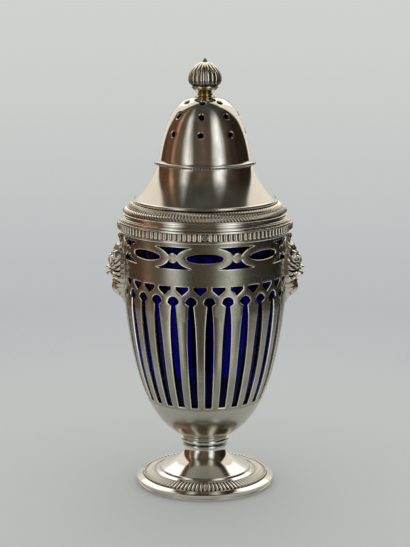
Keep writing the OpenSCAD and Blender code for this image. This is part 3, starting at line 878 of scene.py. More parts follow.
@dataclass
class Panel:
    """One repeat of a pierced shell, laid flat as (distance round, distance along the way)."""

    profile: Profile
    half_turn: float
    start: float
    end: float
    thickness: float
    divisions: int
    bevel: float = 0.45
    rounds: int = 3
    crease: float = 20.0
    grid: float = 1.3
    # Least distance of the grid's points from an outline, as a share of the grid's step
    grid_gap: float = 0.55
    same_point: float = 1e-5
    holes: list[Path] = field(default_factory=list)
    notches: list[Path] = field(default_factory=list)
    rim_at_start: bool = False
    rim_at_end: bool = False

    def __post_init__(self) -> None:
        """Work out the flat width of half a panel and the places across the whole."""
        middle = (self.start + self.end) / 2
        self.scale = self.profile.radius_along(middle)
        self.half = math.radians(self.half_turn) * self.scale
        self.across = np.linspace(-self.half, self.half, self.divisions + 1)

    def flat(self, x: float, z: float) -> Point:
        """Flat place of a point that is cut x to the side of the panel's middle, at a height."""
        return (math.asin(x / float(self.profile.radius_at(z))) * self.scale, float(self.profile.way_at(z)))

    def notch(self, points: Sequence[Point], z: float) -> Path:
        """Flat outline of a notch, from points measured in from the panel's edge and up from a height."""
        return [(self.half - x, y) for x, y in (self.flat(a, z + b) for a, b in points)]

    def solid(self, points: Sequence[Point] | Array, depth: float) -> Array:
        """Points in space of flat points at a depth."""
        p = np.array(points, float)
        return self.profile.place(p[:, 0] / self.scale, p[:, 1], depth)

    def half_grown(self, notch: Path, distance: float) -> Path:
        """Enlarge a notch, which is half of an outline that the panel's edge cuts through.

        Args:
            notch: Its points, from the edge and back to it.
            distance: How far its sides move.

        Returns:
            The enlarged half.
        """
        mirrored = [(2 * self.half - x, y) for x, y in reversed(notch)]
        whole = np.array(notch + mirrored[1:-1])
        moved = grown(whole, distance)[:len(notch)]
        moved[[0, -1], 0] = self.half
        return [(float(x), float(y)) for x, y in moved]

    def border(self, spread: float) -> Array:
        """The panel's outer outline, with its notches enlarged.

        Args:
            spread: How much the notches are enlarged.

        Returns:
            The closed outline's points.
        """
        side: Path = [(self.half, self.start)]
        for notch in self.notches:
            half = self.half_grown(notch, spread)
            side += divided([side[-1], half[0]], self.grid)[1:] + half[1:]
        side += divided([side[-1], (self.half, self.end)], self.grid)[1:]
        loop = [(float(x), self.start) for x in self.across] + side[1:]
        loop += [(float(x), self.end) for x in self.across[::-1][1:]]
        loop += [(-x, y) for x, y in side[::-1][1:-1]]
        return np.array(loop)

    def face(self, spread: float, depth: float) -> tuple[Array, list[list[int]]]:
        """Triangulate the panel's outer or inner face.

        Args:
            spread: How much the openings are enlarged.
            depth: Depth below the outer face.

        Returns:
            Points in space, and triangles that face outwards.
        """
        border = self.border(spread)
        holes = [grown(np.array(h), spread) for h in self.holes]

        def on_sheet(places: Array) -> Array:
            """Which flat points lie on the sheet, inside its border and outside its holes."""
            return within(places, border) & ~np.any([within(places, hole) for hole in holes], axis=0)

        rows = np.arange(self.start + self.grid, self.end - self.grid / 2, self.grid)
        columns = np.arange(-self.half + self.grid, self.half - self.grid / 2, self.grid)
        lattice = np.array([(x, y) for y in rows for x in columns])
        loops = np.vstack([border, *holes])
        apart = np.linalg.norm(lattice[:, None] - loops[None], axis=2).min(axis=1)
        lattice = lattice[on_sheet(lattice) & (apart > self.grid_gap * self.grid)]
        edges, first = [], 0
        for loop in [border, *holes]:
            edges += [(first + i, first + (i + 1) % len(loop)) for i in range(len(loop))]
            first += len(loop)
        flat = np.vstack([loops, lattice])
        made = delaunay_2d_cdt([Vector(p) for p in flat], edges, [], 0, self.same_point)
        points = np.array([tuple(v) for v in made[0]])
        triangles = np.array(made[2])
        kept = on_sheet(points[triangles].mean(axis=1))
        return self.solid(points, depth), triangles[kept].tolist()

    def mesh(self, name: str) -> Mesh:
        """Build the panel: two faces, and walls with a bevel at every opening.

        Args:
            name: The mesh's name.

        Returns:
            The mesh, open where it meets its neighbours.
        """
        points: list[Array] = []
        faces: list[list[int]] = []
        bright: list[float] = []

        def add(new_points: Array, new_faces: list[list[int]], burnish: float = 0.0) -> None:
            """Add points and the faces between them.

            Args:
                new_points: The points, one to a row.
                new_faces: Faces by the numbers of those points.
                burnish: How far the faces are brightened, by polish together with a painted highlight.
            """
            first = sum(len(p) for p in points)
            points.append(new_points)
            faces.extend([[first + i for i in f] for f in new_faces])
            bright.extend([burnish] * len(new_faces))

        def strip(upper: Array, lower: Array, closed: bool, burnish: float = 0.0) -> None:
            """Add a strip of quads between two rows of points.

            Args:
                upper: The first row.
                lower: The second row.
                closed: Whether the strip runs on from its end to its start.
                burnish: How far it is brightened, by polish together with a painted highlight.
            """
            n = len(upper)
            add(np.vstack([upper, lower]), [[i, (i + 1) % n, n + (i + 1) % n, n + i]
                                            for i in range(n if closed else n - 1)], burnish)

        add(*self.face(self.bevel, 0.0))
        inner_points, inner_faces = self.face(0.0, self.thickness)
        add(inner_points, [f[::-1] for f in inner_faces])
        cuts = [(np.array(h), grown(np.array(h), self.bevel), True) for h in self.holes]
        for notch in self.notches:
            wide = np.array(self.half_grown(notch, self.bevel))
            true = np.array(self.half_grown(notch, 0.0))
            mirror = np.array([-1, 1])
            cuts += [(true, wide, False), (true * mirror, wide * mirror, False)]
        bends = np.radians(np.linspace(0, 90, self.rounds + 1))
        for true, wide, closed in cuts:
            rows = [self.solid(true + (wide - true) * (1 - math.sin(a)), self.bevel * (1 - math.cos(a)))
                    for a in bends]
            # The bevel's rounds are brightened in full: a polished filed edge with a painted highlight on it
            for upper, lower in zip(rows, rows[1:]):
                strip(upper, lower, closed, 1.0)
            strip(rows[-1], self.solid(true, self.thickness), closed)
        for wanted, way in ((self.rim_at_start, self.start), (self.rim_at_end, self.end)):
            if wanted:
                edge = np.stack([self.across, np.full(len(self.across), way)], axis=1)
                strip(self.solid(edge, 0.0), self.solid(edge, self.thickness), False)
        return closed_up(marked(new_mesh(name, np.vstack(points), faces), Mark.BURNISH, bright), self.crease)


# Sub-assemblies
@dataclass
class SubAssembly:
    """What the caster's sub-assemblies share. Each rides on one body."""

    rides_on: ClassVar[Body] = Body.FRAME
    finishes: dict[Slot, Material]
    rings: RingMaker
    sheet: float = 1.0
    edge: float = 0.25
    solder_gap: float = 0.04
    wire_soft: float = 0.05

    def dress(self, mesh: Mesh, slot: Slot, *nodes: str) -> None:
        """Make a mesh a finished piece in the place of CAD nodes.

        Args:
            mesh: The finished mesh.
            slot: The finish it takes.
            nodes: The CAD nodes it stands for. The piece is named for the first.
        """
        body = self.rides_on
        mesh.materials.clear()
        mesh.materials.append(self.finishes[slot])
        piece = bpy.data.objects.new(f"{nodes[0]}_look", mesh)
        bpy.context.scene.collection.objects.link(piece)
        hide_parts(*nodes)
        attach(piece, body.value)
        LOG.info("%s: %d faces, %s", piece.name, len(mesh.polygons), slot.value)

    def turned(self, outline: Sequence[Point], node: str, soft: float = 0.12,
               slot: Slot = Slot.POLISHED) -> None:
        """Spin a closed outline with softened edges and dress it.

        Args:
            outline: Points of (radius, height).
            node: The CAD node it stands for.
            soft: Radius of its softened edges.
            slot: The finish it takes.
        """
        self.dress(closed_up(lathe(node, softened(outline, soft))), slot, node)

    def spun(self, outer: Sequence[Point], node: str) -> None:
        """Spin a polished sheet from its outer face and dress it.

        Args:
            outer: Points of the outer face, from the bottom up.
            node: The CAD node it stands for.
        """
        self.turned(list(outer) + inset(outer, self.sheet)[::-1], node)

    def hoop(self, inner: float, node: str, soft: float = 0.12) -> None:
        """Turn a plain polished hoop, as high and as wide as its CAD node, and dress it.

        Args:
            inner: Radius of its bore.
            node: The CAD node it stands for.
            soft: Radius of its softened edges.
        """
        outer, bottom, top = radius(node), low(node), high(node)
        self.turned([(inner, bottom), (outer, bottom), (outer, top), (inner, top)], node, soft)

    def wire(self, inside: float, height: float, flat: float, bend_in: float, node: str) -> None:
        """Bend a polished half-round wire round the axis, from its CAD node's foot up, and dress it.

        Args:
            inside: Radius of its flat back.
            height: Its height.
            flat: Width of its flat edges.
            bend_in: Distance of its rounding's centre from its back.
            node: The CAD node it stands for.
        """
        bottom, half = low(node), height / 2
        outline = [(inside, bottom), (inside + flat, bottom)]
        outline += arc((inside + bend_in, bottom + half), half, -80, 80)
        outline += [(inside + flat, bottom + height), (inside, bottom + height)]
        self.turned(outline, node, self.wire_soft)

    def ringed(self, name: str, core: Mesh, node: str, *rings: Ring, slot: Slot = Slot.ORNAMENT,
               crease: float = ORNAMENT_CREASE) -> None:
        """Lay rings of ornament on a core and dress the whole.

        Args:
            name: The mesh's name.
            core: What the rings sit on.
            node: The CAD node it stands for.
            rings: The rings to lay.
            slot: The finish it takes.
            crease: Angle above which its edges stay sharp.
        """
        mesh = self.rings.lay(name, core, self.finishes[slot], *rings)
        self.dress(closed_up(mesh, crease), slot, node)


@dataclass
class Foot(SubAssembly):
    """The trumpet foot: a standing ring, a spun shell and the border of tongues."""

    ring_h: float = 2.4
    ring_w: float = 1.8
    groove: float = 0.25
    lip: float = 0.6
    lip_h: float = 0.7
    border_inset: float = 0.7
    border_lift: float = 1.2
    border_rise: float = 4.2
    border_gap: float = 0.8
    trumpet_d: float = 41.0
    trumpet_step: float = 0.9
    trumpet_lap: float = 0.2
    # How far out and along the trumpet's curve is drawn at its foot and at its neck
    foot_sweep: Point = (0.4, 2.3)
    neck_sweep: Point = (0.5, 5.4)
    neck_d: float = 19.2
    neck_h: float = 0.6
    tongues: int = 96
    band_w: float = 6.4
    tongue_h: float = 0.86
    bead_l: float = 1.5
    web: float = 0.2
    bite: float = 0.1

    def build(self) -> None:
        """Build and dress the foot's three pieces."""
        foot_r, top = radius("foot_shell"), high("foot_shell")
        ring_r, ring_h = foot_r - self.lip, self.ring_h
        bore, groove_r = ring_r - self.ring_w, ring_r - self.groove
        ring = [(bore, 0), (ring_r, 0), (ring_r, ring_h * 0.45), (groove_r, ring_h * 0.55),
                (groove_r, ring_h * 0.75), (ring_r, ring_h * 0.85), (ring_r, ring_h), (bore, ring_h)]
        self.turned(ring, "foot_ring")

        neck_r, trumpet_r = self.neck_d / 2, self.trumpet_d / 2
        z_border = ring_h + self.border_rise
        z_trumpet = z_border + self.trumpet_step
        border_foot = (foot_r - self.border_inset, ring_h + self.border_lift)
        border_head = (trumpet_r + self.border_gap, z_border)
        shell = [(foot_r, ring_h), (foot_r, ring_h + self.lip_h), border_foot, border_head,
                 (border_head[0] - self.trumpet_lap, z_trumpet)]
        sweep_r = trumpet_r - 0.48 * (trumpet_r - neck_r) + self.foot_sweep[0]
        shell += curve((trumpet_r, z_trumpet), (sweep_r, z_trumpet + self.foot_sweep[1]),
                       (neck_r + self.neck_sweep[0], top - self.neck_sweep[1]),
                       (neck_r, top - self.neck_h), 40)
        self.spun(shell + [(neck_r, top)], "foot_shell")
        self.border(np.array(border_foot), np.array(border_head))

    def border(self, foot: Array, head: Array) -> None:
        """Build the applied border: tongues with a bead at the outer end.

        Args:
            foot: Outer end of the sloping border, as (radius, height).
            head: Inner end of it.
        """
        length = np.linalg.norm(head - foot)
        along = (head - foot) / length
        lift = np.array([along[1], -along[0]])
        inner = head - along * (length - self.band_w) / 2
        outer = inner - along * self.band_w
        strip = [outer + lift * self.solder_gap, outer + lift * self.web,
                 inner + lift * self.web, inner + lift * self.solder_gap]
        core = lathe("border strip", [tuple(p) for p in strip], segments=2 * self.tongues)
        oxidised(core, float(inner[0]) + self.edge, float(outer[0]) - self.edge, 0.0, high("foot_gadroons"))
        sunk = self.web - self.bite

        def laid(way: float) -> tuple[float, float, float]:
            """Point sunk in the border, at a distance in from its outer edge, at the front."""
            r, z = outer + along * way + lift * sunk
            return (0.0, -float(r), float(z))

        pitch = math.tau * float(outer[0]) / self.tongues
        up = (0.0, -float(lift[0]), float(lift[1]))
        start, stand = self.bead_l * 0.8, self.tongue_h - sunk
        shares = (0.0, 0.12, 0.38, 0.72, 1.0)
        # Tongues and beads take painted shade on their sides and a painted highlight on their tops
        tongue = pod("tongue", [laid(start + s * (self.band_w - start)) for s in shares],
                     pitch * np.array([0.18, 0.41, 0.41, 0.36, 0.18]),
                     stand * np.array([0.2, 0.42, 0.48, 0.42, 0.15]), up, sides=FLANK_SHADE, tops=0.6)
        bead = pod("bead", [laid(self.bead_l * s) for s in (0.02, 0.25, 0.6, 0.98)],
                   pitch * np.array([0.14, 0.42, 0.43, 0.16]),
                   stand * np.array([0.3, 0.95, 1.0, 0.3]), up, sides=FLANK_SHADE, tops=0.8)
        self.ringed("foot border", closed_up(core), "foot_gadroons",
                    Ring(tongue, self.tongues, sway=0.12, seed=3),
                    Ring(bead, self.tongues, sway=0.10, seed=4))


@dataclass
class Vase(SubAssembly):
    """The knop, the pierced body and its two lion masks."""

    body_d: float = 74.6
    mouth_flare: float = 0.6
    waist_h: float = 65.1
    bowl_spread: float = 16.0
    neck_d: float = 19.2
    knop_overhang: float = 1.9
    knop_seat: float = 0.4
    knop_bead_in: float = 0.7
    knop_waist: float = 1.6
    knop_soft: float = 0.3
    base_inset: float = 1.2
    base_h: float = 0.2
    # How far the flare's curve is drawn out at its foot and at its head
    flare_swell: Point = (0.4, 0.2)
    mouth_h: float = 0.8
    ovals: int = 8
    rail: float = 2.1
    gallery_h: float = 9.6
    oval_l: float = 16.8
    oval_h: float = 4.1
    oval_lap: float = 0.55
    boss_d: float = 4.6
    boss_bite: float = 0.65
    columns: int = 28
    plain_band: float = 8.2
    shield_w: float = 5.8
    shield_h: float = 3.8
    arch_drop: float = 0.7
    head_w: float = 5.2
    throat_w: float = 1.9
    throat_drop: float = 1.5
    slot_w: float = 3.9
    slot_foot_w: float = 3.0
    slot_swell: float = 0.3
    slot_h: float = 49.5
    around: int = 224
    foot_margin: float = 1.6
    bowl_shine: float = 0.35

    def __post_init__(self) -> None:
        """Work out the levels and the body's outer face from the frame."""
        self.z_base, self.z_mouth = low("body"), high("body")
        self.base_r = self.neck_d / 2 + self.knop_overhang - self.base_inset
        body_r, waist = self.body_d / 2, self.z_base + self.waist_h
        mouth_r, flare_h = body_r + self.mouth_flare, self.z_mouth - waist
        side = curve((self.base_r, self.z_base),
                     (self.base_r + self.bowl_spread, self.z_base + self.waist_h * 0.129),
                     (self.body_d * 0.445, waist - self.waist_h * 0.58), (body_r, waist), 90)
        side += curve((body_r, waist), (body_r + self.flare_swell[0], waist + flare_h * 0.35),
                      (body_r + self.flare_swell[1], self.z_mouth - flare_h * 0.35),
                      (mouth_r, self.z_mouth - self.mouth_h), 40)[1:]
        self.profile = Profile(side + [(mouth_r, self.z_mouth)])
        self.z_gallery = self.z_mouth - self.rail - self.gallery_h / 2
        self.z_shield = self.z_gallery - self.gallery_h / 2 - self.plain_band
        self.z_head = self.z_shield - self.shield_h - self.arch_drop - self.head_w / 2
        self.z_slot = self.z_head - self.throat_drop - self.slot_h

    def build(self) -> None:
        """Build and dress the knop, the body and the masks."""
        self.knop()
        self.body()
        mask = LionMask(self.finishes, self.rings, profile=self.profile)
        mask.build()

    def knop(self) -> None:
        """Build the turned knop between foot and body."""
        z, h = low("knop"), high("knop") - low("knop")
        knop_r, bead = self.neck_d / 2 + self.knop_overhang, h * 0.26
        outline = [(0.0, z), (self.neck_d / 2 + self.knop_seat, z)]
        outline += arc((knop_r - self.knop_bead_in - bead / 2, z + bead * 0.75), bead * 0.7, -80, 80)
        outline += [(knop_r - self.knop_waist, z + h * 0.42)]
        outline += arc((knop_r - bead, z + h * 0.68), bead, -75, 75, 14)
        outline += [(self.base_r, z + h - self.base_h), (self.base_r, z + h), (0.0, z + h)]
        self.turned(outline, "knop", self.knop_soft)

    def body(self) -> None:
        """Build the pierced body: a plain bowl, the arcade's panels and the gallery's panels."""
        step = 360 / self.around
        profile = self.profile
        bowl_top = float(profile.way_at(self.z_slot - self.foot_margin))
        band = float(profile.way_at(self.z_shield + self.plain_band / 2))
        arcade = self.arcade_panel(bowl_top, band)
        gallery = self.gallery_panel(band, profile.length)
        turn = 2 * step
        outer = [(0.0, self.z_base)] + profile.stretch(0, bowl_top)
        inner = [(0.0, self.z_base + self.sheet)] + profile.stretch(0, bowl_top, self.sheet)
        inner = [p for p in inner if p[1] >= self.z_base + self.sheet - TINY]
        faces = [marked(lathe("bowl face", path, closed=False, segments=self.around), Mark.BURNISH, [share])
                 for path, share in ((outer, self.bowl_shine), (inner, 0.0))]
        core = joined("bowl", *faces)
        lower = Ring(arcade.mesh("arcade panel"), self.columns, turn=turn, weld_mm=PANEL_WELD_MM)
        upper = Ring(gallery.mesh("gallery panel"), self.ovals, weld_mm=PANEL_WELD_MM)
        mesh = self.rings.lay("pierced body", core, self.finishes[Slot.SATIN], lower, upper)
        self.dress(closed_up(mesh, arcade.crease, weld_mm=PANEL_WELD_MM), Slot.SATIN, "body")

    def arcade_panel(self, start: float, end: float) -> Panel:
        """Lay out one keyhole slot with half a shield at each side.

        Args:
            start: Where the panel begins, along the body's way.
            end: Where it ends.

        Returns:
            The panel.
        """
        panel = Panel(self.profile, 180 / self.columns, start, end, self.sheet, self.around // self.columns)
        foot, throat = self.slot_foot_w / 2, self.throat_w / 2
        swell = foot + self.slot_swell
        belly = (4 * self.slot_w - foot - throat) / 3 - swell
        edge = curve((foot, 0), (swell, self.slot_h / 3), (belly, self.slot_h * 0.75),
                     (throat, self.slot_h), 34)
        edge += arc((0, self.slot_h + self.throat_drop), self.head_w / 2, -4, 90, 12)
        edge = divided([(0.0, 0.0)] + edge, panel.grid)
        slot = [panel.flat(x, self.z_slot + z) for x, z in edge]
        panel.holes = [slot + [(-x, y) for x, y in reversed(slot[1:-1])]]
        half, drop = self.shield_w / 2, self.shield_h * 0.32
        shield = divided([(0.0, -self.shield_h), (half, -drop), (half, 0.0), (0.0, 0.0)], panel.grid)
        panel.notches = [panel.notch(shield, self.z_shield)]
        return panel

    def gallery_panel(self, start: float, end: float) -> Panel:
        """Lay out one oval with half of the open spandrels and boss at each side.

        Args:
            start: Where the panel begins, along the body's way.
            end: Where it ends.

        Returns:
            The panel.
        """
        panel = Panel(self.profile, 180 / self.ovals, start, end, self.sheet, self.around // self.ovals,
                      rim_at_end=True)
        around = np.radians(np.linspace(0, 360, 48, endpoint=False))
        long, tall = self.oval_l / 2, self.oval_h / 2
        panel.holes = [[panel.flat(long * math.cos(t), self.z_gallery + tall * math.sin(t)) for t in around]]
        pitch = 2 * float(self.profile.radius_at(self.z_gallery)) * math.sin(math.pi / self.ovals)
        reach, lift = (pitch - self.boss_d) / 2 + self.boss_bite, self.gallery_h / 2 + self.oval_lap
        bends = np.linspace(0, math.asin(self.gallery_h / 2 / lift), 400)
        x, y = pitch / 2 - reach * np.cos(bends), lift * np.sin(bends)
        free = np.hypot(x, y) > self.boss_d / 2
        x, y = x[free], y[free]
        meet = math.degrees(math.atan2(y[0], x[0]))
        upper = arc((0, 0), self.boss_d / 2, 90, meet, 8)
        upper += [(float(a), float(b)) for a, b in zip(x[12::24], y[12::24])]
        upper += [(float(x[-1]), self.gallery_h / 2)]
        upper = divided(upper + [(0.0, self.gallery_h / 2)], panel.grid)
        lower = [(a, -b) for a, b in reversed(upper)]
        panel.notches = [panel.notch(half, self.z_gallery) for half in (lower, upper)]
        return panel


@dataclass
class LionMask(SubAssembly):
    """A cast lion mask: a carved relief, in shares of its half width, height and relief."""

    profile: Profile | None = None
    height: float = 33.0
    half_width: float = 9.4
    relief: float = 8.6
    web_share: float = 0.07
    sunk: float = 0.25
    rows: int = 150
    columns: int = 90
    ease: int = 5
    # A top standing this far above the relief round it takes its full painted highlight, and relief below
    # about this hollow share takes oxidised patina with painted shade
    rubbed_and_highlit: float = 0.05
    hollow: float = 0.22
    face_up: float = 0.54
    locks: int = 22
    curl: float = 280.0
    curl_turn: float = 195.0
    lock_depth: float = 0.48
    strands: int = 3
    strand_depth: float = 0.05
    # The mane's reach over and under the face, and the place and width of its fades at the face and the top
    mane_over: float = 0.33
    mane_under: float = 0.50
    mane_start: Point = (0.28, 0.25)
    mane_top: Point = (0.89, 0.05)
    mane_foot: float = 0.24
    mane_reach: float = 1.12
    mane_relief: float = 0.78
    # Strength of the painted highlight on the tops
    shine: float = 0.6
    crease: float = 70.0
    weld_mm: float = 0.0005

    # Rounded caps of (offset, height, half width, half height, slant, relief)
    features: ClassVar[dict[str, tuple[float, ...]]] = {
        "head": (0, 0.54, 0.66, 0.245, 0, 0.62), "muzzle": (0, 0.450, 0.41, 0.108, 0, 0.86),
        "nose": (0, 0.512, 0.20, 0.046, 0, 1.00), "whisker pad": (0.19, 0.438, 0.24, 0.066, -0.10, 0.95),
        "bridge": (0, 0.606, 0.16, 0.150, 0, 0.84), "brow": (0.32, 0.664, 0.32, 0.038, 0.08, 0.82),
        "cheekbone": (0.48, 0.540, 0.26, 0.075, 0.08, 0.70), "forehead": (0, 0.715, 0.38, 0.080, 0, 0.66),
        "ear": (0.66, 0.718, 0.19, 0.068, -0.14, 0.66), "chin": (0, 0.330, 0.21, 0.042, 0, 0.64),
        "beard": (0, 0.235, 0.26, 0.150, 0, 0.66), "crest": (0, 0.955, 0.15, 0.055, 0, 0.22),
        "crest side": (0.12, 0.915, 0.10, 0.045, -0.20, 0.15)}
    hollows: ClassVar[dict[str, tuple[float, ...]]] = {
        "eye socket": (0.32, 0.606, 0.17, 0.034, 0.04, 0.22),
        "ear hollow": (0.67, 0.716, 0.09, 0.038, -0.14, 0.17),
        "mouth": (0, 0.378, 0.34, 0.016, 0, 0.25), "cleft": (0, 0.444, 0.04, 0.060, 0, 0.14)}
    eye: ClassVar[tuple[float, ...]] = (0.32, 0.606, 0.11, 0.022, 0.04, 0.74)
    # The mask's half width at heights from its foot to its top
    outline: ClassVar[tuple[Point, ...]] = (
        (0, 0.04), (0.05, 0.13), (0.14, 0.28), (0.24, 0.52), (0.33, 0.82), (0.42, 0.97), (0.52, 1),
        (0.64, 1), (0.75, 0.88), (0.83, 0.60), (0.885, 0.34), (0.93, 0.24), (0.97, 0.26), (1, 0.13))

    @staticmethod
    def cap(shape: Numbers, across: Array, up: Array) -> Array:
        """Relief of one rounded cap.

        Args:
            shape: Its offset, height, half width, half height, slant and relief.
            across: Places across the mask.
            up: Places up the mask.

        Returns:
            The relief at each place.
        """
        x = (across - shape[0]) / shape[2]
        y = (up - shape[1] - shape[4] * (across - shape[0])) / shape[3]
        return shape[5] * np.sqrt(np.clip(1 - x * x - y * y, 0, None))

    def mane(self, across: Array, up: Array) -> Array:
        """Relief of the mane, whose wavy locks run out from the face.

        Args:
            across: Places across the mask.
            up: Places up the mask.

        Returns:
            The relief at each place.
        """
        above = up - self.face_up
        out = np.hypot(across, above / np.where(up > self.face_up, self.mane_over, self.mane_under))
        turn = np.degrees(np.arctan2(above * self.height, across * self.half_width))
        bend = np.radians(self.locks * turn + self.curl * np.sin(np.radians(self.curl_turn * out)))
        wave = np.sqrt(0.5 + 0.5 * np.cos(bend))
        strands = self.strand_depth * np.cos(self.strands * bend)
        fade = np.clip((out - self.mane_start[0]) / self.mane_start[1], 0, 1)
        fade = fade * np.clip((self.mane_top[0] - up) / self.mane_top[1], 0, 1)
        fade = fade * np.clip(up / self.mane_foot, 0, 1)
        cut = 1 - self.lock_depth + self.lock_depth * wave + strands
        return self.mane_relief * np.sqrt(np.clip(self.mane_reach - out, 0, 1)) * cut * fade

    def carved(self, across: Array, up: Array) -> Array:
        """Relief of the whole mask.

        Args:
            across: Places across the mask.
            up: Places up the mask.

        Returns:
            The relief at each place.
        """
        side = np.abs(across)
        height = self.mane(side, up)
        for shape in self.features.values():
            height = np.maximum(height, self.cap(shape, side, up))
        height -= np.max([self.cap(shape, side, up) for shape in self.hollows.values()], axis=0)
        return np.maximum(np.maximum(height, self.cap(self.eye, side, up)), 0)

    def build(self) -> None:
        """Carve and dress a mask for each side of the body."""
        for node, turn in (("mask_right", 0.0), ("mask_left", math.pi)):
            mesh = closed_up(self.mesh(node, turn), self.crease, self.weld_mm)
            self.dress(mesh, Slot.ORNAMENT, node)

    def mesh(self, name: str, turn: float) -> Mesh:
        """Build the closed relief.

        Args:
            name: The mesh's name, which is also its CAD node.
            turn: Angle of its middle from +X, in radians.

        Returns:
            The mesh.
        """
        window = 2 * self.ease + 1
        up = np.linspace(0, 1, self.rows + 1)[:, None] * np.ones((1, self.columns + 1))
        spread = np.interp(np.pad(up[:, 0], self.ease, mode="edge"), *zip(*self.outline))
        width = np.convolve(spread, np.ones(window) / window, "valid")[:, None]
        across = np.linspace(-1, 1, self.columns + 1)[None] * width
        z = low(name) + up * self.height
        base = self.profile.radius_at(z) + self.solder_gap
        web = self.web_share * self.relief
        angle = across * self.half_width / base + turn
        carved = self.carved(across, up)
        front = base + web + (self.relief - web) * carved
        reach = max(abs(corner.x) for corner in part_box(name)) / MM
        front -= max(0.0, float(front.max()) - reach) * carved
        layers = []
        for r in (front, base - self.sunk):
            layers.append(np.stack([r * np.cos(angle), r * np.sin(angle), z], axis=2).reshape(-1, 3))
        row, grid = self.columns + 1, (self.columns + 1) * (self.rows + 1)
        faces = []
        for j in range(self.rows):
            for i in range(self.columns):
                a = j * row + i
                faces.append([a, a + 1, a + row + 1, a + row])
                faces.append([grid + a, grid + a + row, grid + a + row + 1, grid + a + 1])
        rim = [*range(row), *range(2 * row - 1, grid, row), *range(grid - 2, grid - row - 1, -1),
               *range(grid - 2 * row, 0, -row)]
        faces += [[a, b, grid + b, grid + a] for a, b in zip(rim, rim[1:] + rim[:1])]
        mesh = new_mesh(name, np.vstack(layers), faces)
        # Hollows lie lower than the middle of the relief round them and tops lie higher: hollows and the
        # lowest relief are darkened with oxidised patina and painted shade, and tops take a painted highlight
        near = sliding_window_view(np.pad(carved, self.ease, mode="edge"), (window, window)).mean((2, 3))
        stand = (carved - near)[:-1, :-1].ravel() / self.rubbed_and_highlit
        deep = np.maximum(np.clip(-stand, 0, 1), np.clip(1.3 - carved[:-1, :-1].ravel() / self.hollow, 0, 1))
        for mark, share in ((Mark.OXIDE, GROUND * deep), (Mark.BURNISH, self.shine * np.clip(stand, 0, 1))):
            shares = np.zeros(len(faces))
            shares[:2 * len(share):2] = share
            marked(mesh, mark, shares)
        return mesh


@dataclass
class Mouth(SubAssembly):
    """The collar in the mouth, with the reeded frieze, its wires and rosettes."""

    collar_wall: float = 2.0
    wire_flat: float = 0.3
    wire_bend: float = 0.5
    flat_soft: float = 0.25
    reeds: int = 108
    web: float = 0.7
    sunk: float = 0.25
    lip: float = 0.14
    lip_out: float = 0.3
    reed_h: float = 0.8
    rosette_d: float = 3.0
    petals: int = 8
    button: float = 0.3
    button_dome: float = 0.25
    scallop: float = 0.06
    # How high the petals stand at their edges and how much more in the middle, as shares of the rise
    petal_rise: Point = (0.45, 0.4)
    petal_middle: float = 0.62
    petal_reach: float = 0.42

    def build(self) -> None:
        """Build and dress the mouth's pieces."""
        collar_out = radius("collar")
        inside = collar_out + self.solder_gap
        self.hoop(collar_out - self.collar_wall, "collar")
        wire_h = high("frieze_lower_wire") - low("frieze_lower_wire")
        self.wire(inside, wire_h, self.wire_flat, self.wire_bend, "frieze_lower_wire")
        self.hoop(inside, "frieze_upper_wire", self.flat_soft)
        self.frieze(inside)
        self.rosettes(inside + self.web / 2)

    def frieze(self, inside: float) -> None:
        """Build the reeded band, open at the front and the back for its rosettes.

        Args:
            inside: Radius of the band's back.
        """
        z0, z1, lip = low("frieze_band"), high("frieze_band"), self.lip
        floor, lip_r = inside + self.web - self.sunk, inside + self.web + self.lip_out
        strip = [(inside, z0), (lip_r, z0), (lip_r, z0 + lip), (floor, z0 + 2 * lip), (floor, z1 - 2 * lip),
                 (lip_r, z1 - lip), (lip_r, z1), (inside, z1)]
        core = lathe("frieze strip", strip, segments=2 * self.reeds)
        core = closed_up(oxidised(core, inside + self.edge, floor + lip, z0 + lip, z1 - lip))
        pitch = math.tau * (floor + self.reed_h) / self.reeds
        start, end = z0 + 0.5 * lip, z1 - 0.5 * lip
        shares = np.array([0.0, 0.07, 0.2, 0.5, 0.8, 0.93, 1.0])
        rise = radius("frieze_band") - floor
        # Each reed takes a painted highlight on its top
        reed = pod("reed", [(0.0, -floor, start + s * (end - start)) for s in shares],
                   pitch * np.array([0.26, 0.42, 0.47, 0.48, 0.47, 0.42, 0.26]),
                   rise * np.array([0.35, 0.8, 0.97, 1.0, 0.97, 0.8, 0.35]), (0.0, -1.0, 0.0),
                   around=7, tops=0.8)
        self.ringed("reeded frieze", core, "frieze_band", Ring(reed, self.reeds, gap=1.7, sway=0.08, seed=5))

    def rosettes(self, seat: float) -> None:
        """Build the two small paterae over the frieze's seams.

        Args:
            seat: Radius of their backs.
        """
        z = (low("frieze_rosettes") + high("frieze_rosettes")) / 2
        rise = reach_back("frieze_rosettes") - seat
        spread = np.linspace(0, 1, 11)
        around = np.linspace(0, math.tau, 8 * self.petals, endpoint=False)
        out, turn = np.meshgrid(spread, around, indexing="ij")
        petal = np.abs(np.cos(self.petals * turn / 2))
        rim = self.rosette_d / 2 * (1 - self.scallop + self.scallop * petal)
        button = np.sqrt(np.clip(1 - (out / self.button) ** 2, 0, 1)) * self.button_dome
        button += 1 - self.button_dome
        bulge = np.clip(1.03 - ((out - self.petal_middle) / self.petal_reach) ** 2, 0, 1)
        leaf = (self.petal_rise[0] + self.petal_rise[1] * petal) * np.sqrt(bulge)
        level = np.where(out > 0.99, 0.0, np.where(out < self.button, button, leaf))
        n = len(around)
        faces = tube_faces(len(spread), n)
        faces.append([(len(spread) - 1) * n + k for k in range(n)][::-1])
        meshes = []
        for side in (-1, 1):
            points = np.stack([side * -out * rim * np.cos(turn), side * (seat + rise * level),
                               z + out * rim * np.sin(turn)], axis=2).reshape(-1, 3)
            meshes.append(closed_up(new_mesh("rosette", points, faces), ORNAMENT_CREASE))
        mesh = closed_up(joined("rosettes", *meshes), ORNAMENT_CREASE)
        self.dress(mesh, Slot.ORNAMENT, "frieze_rosettes")


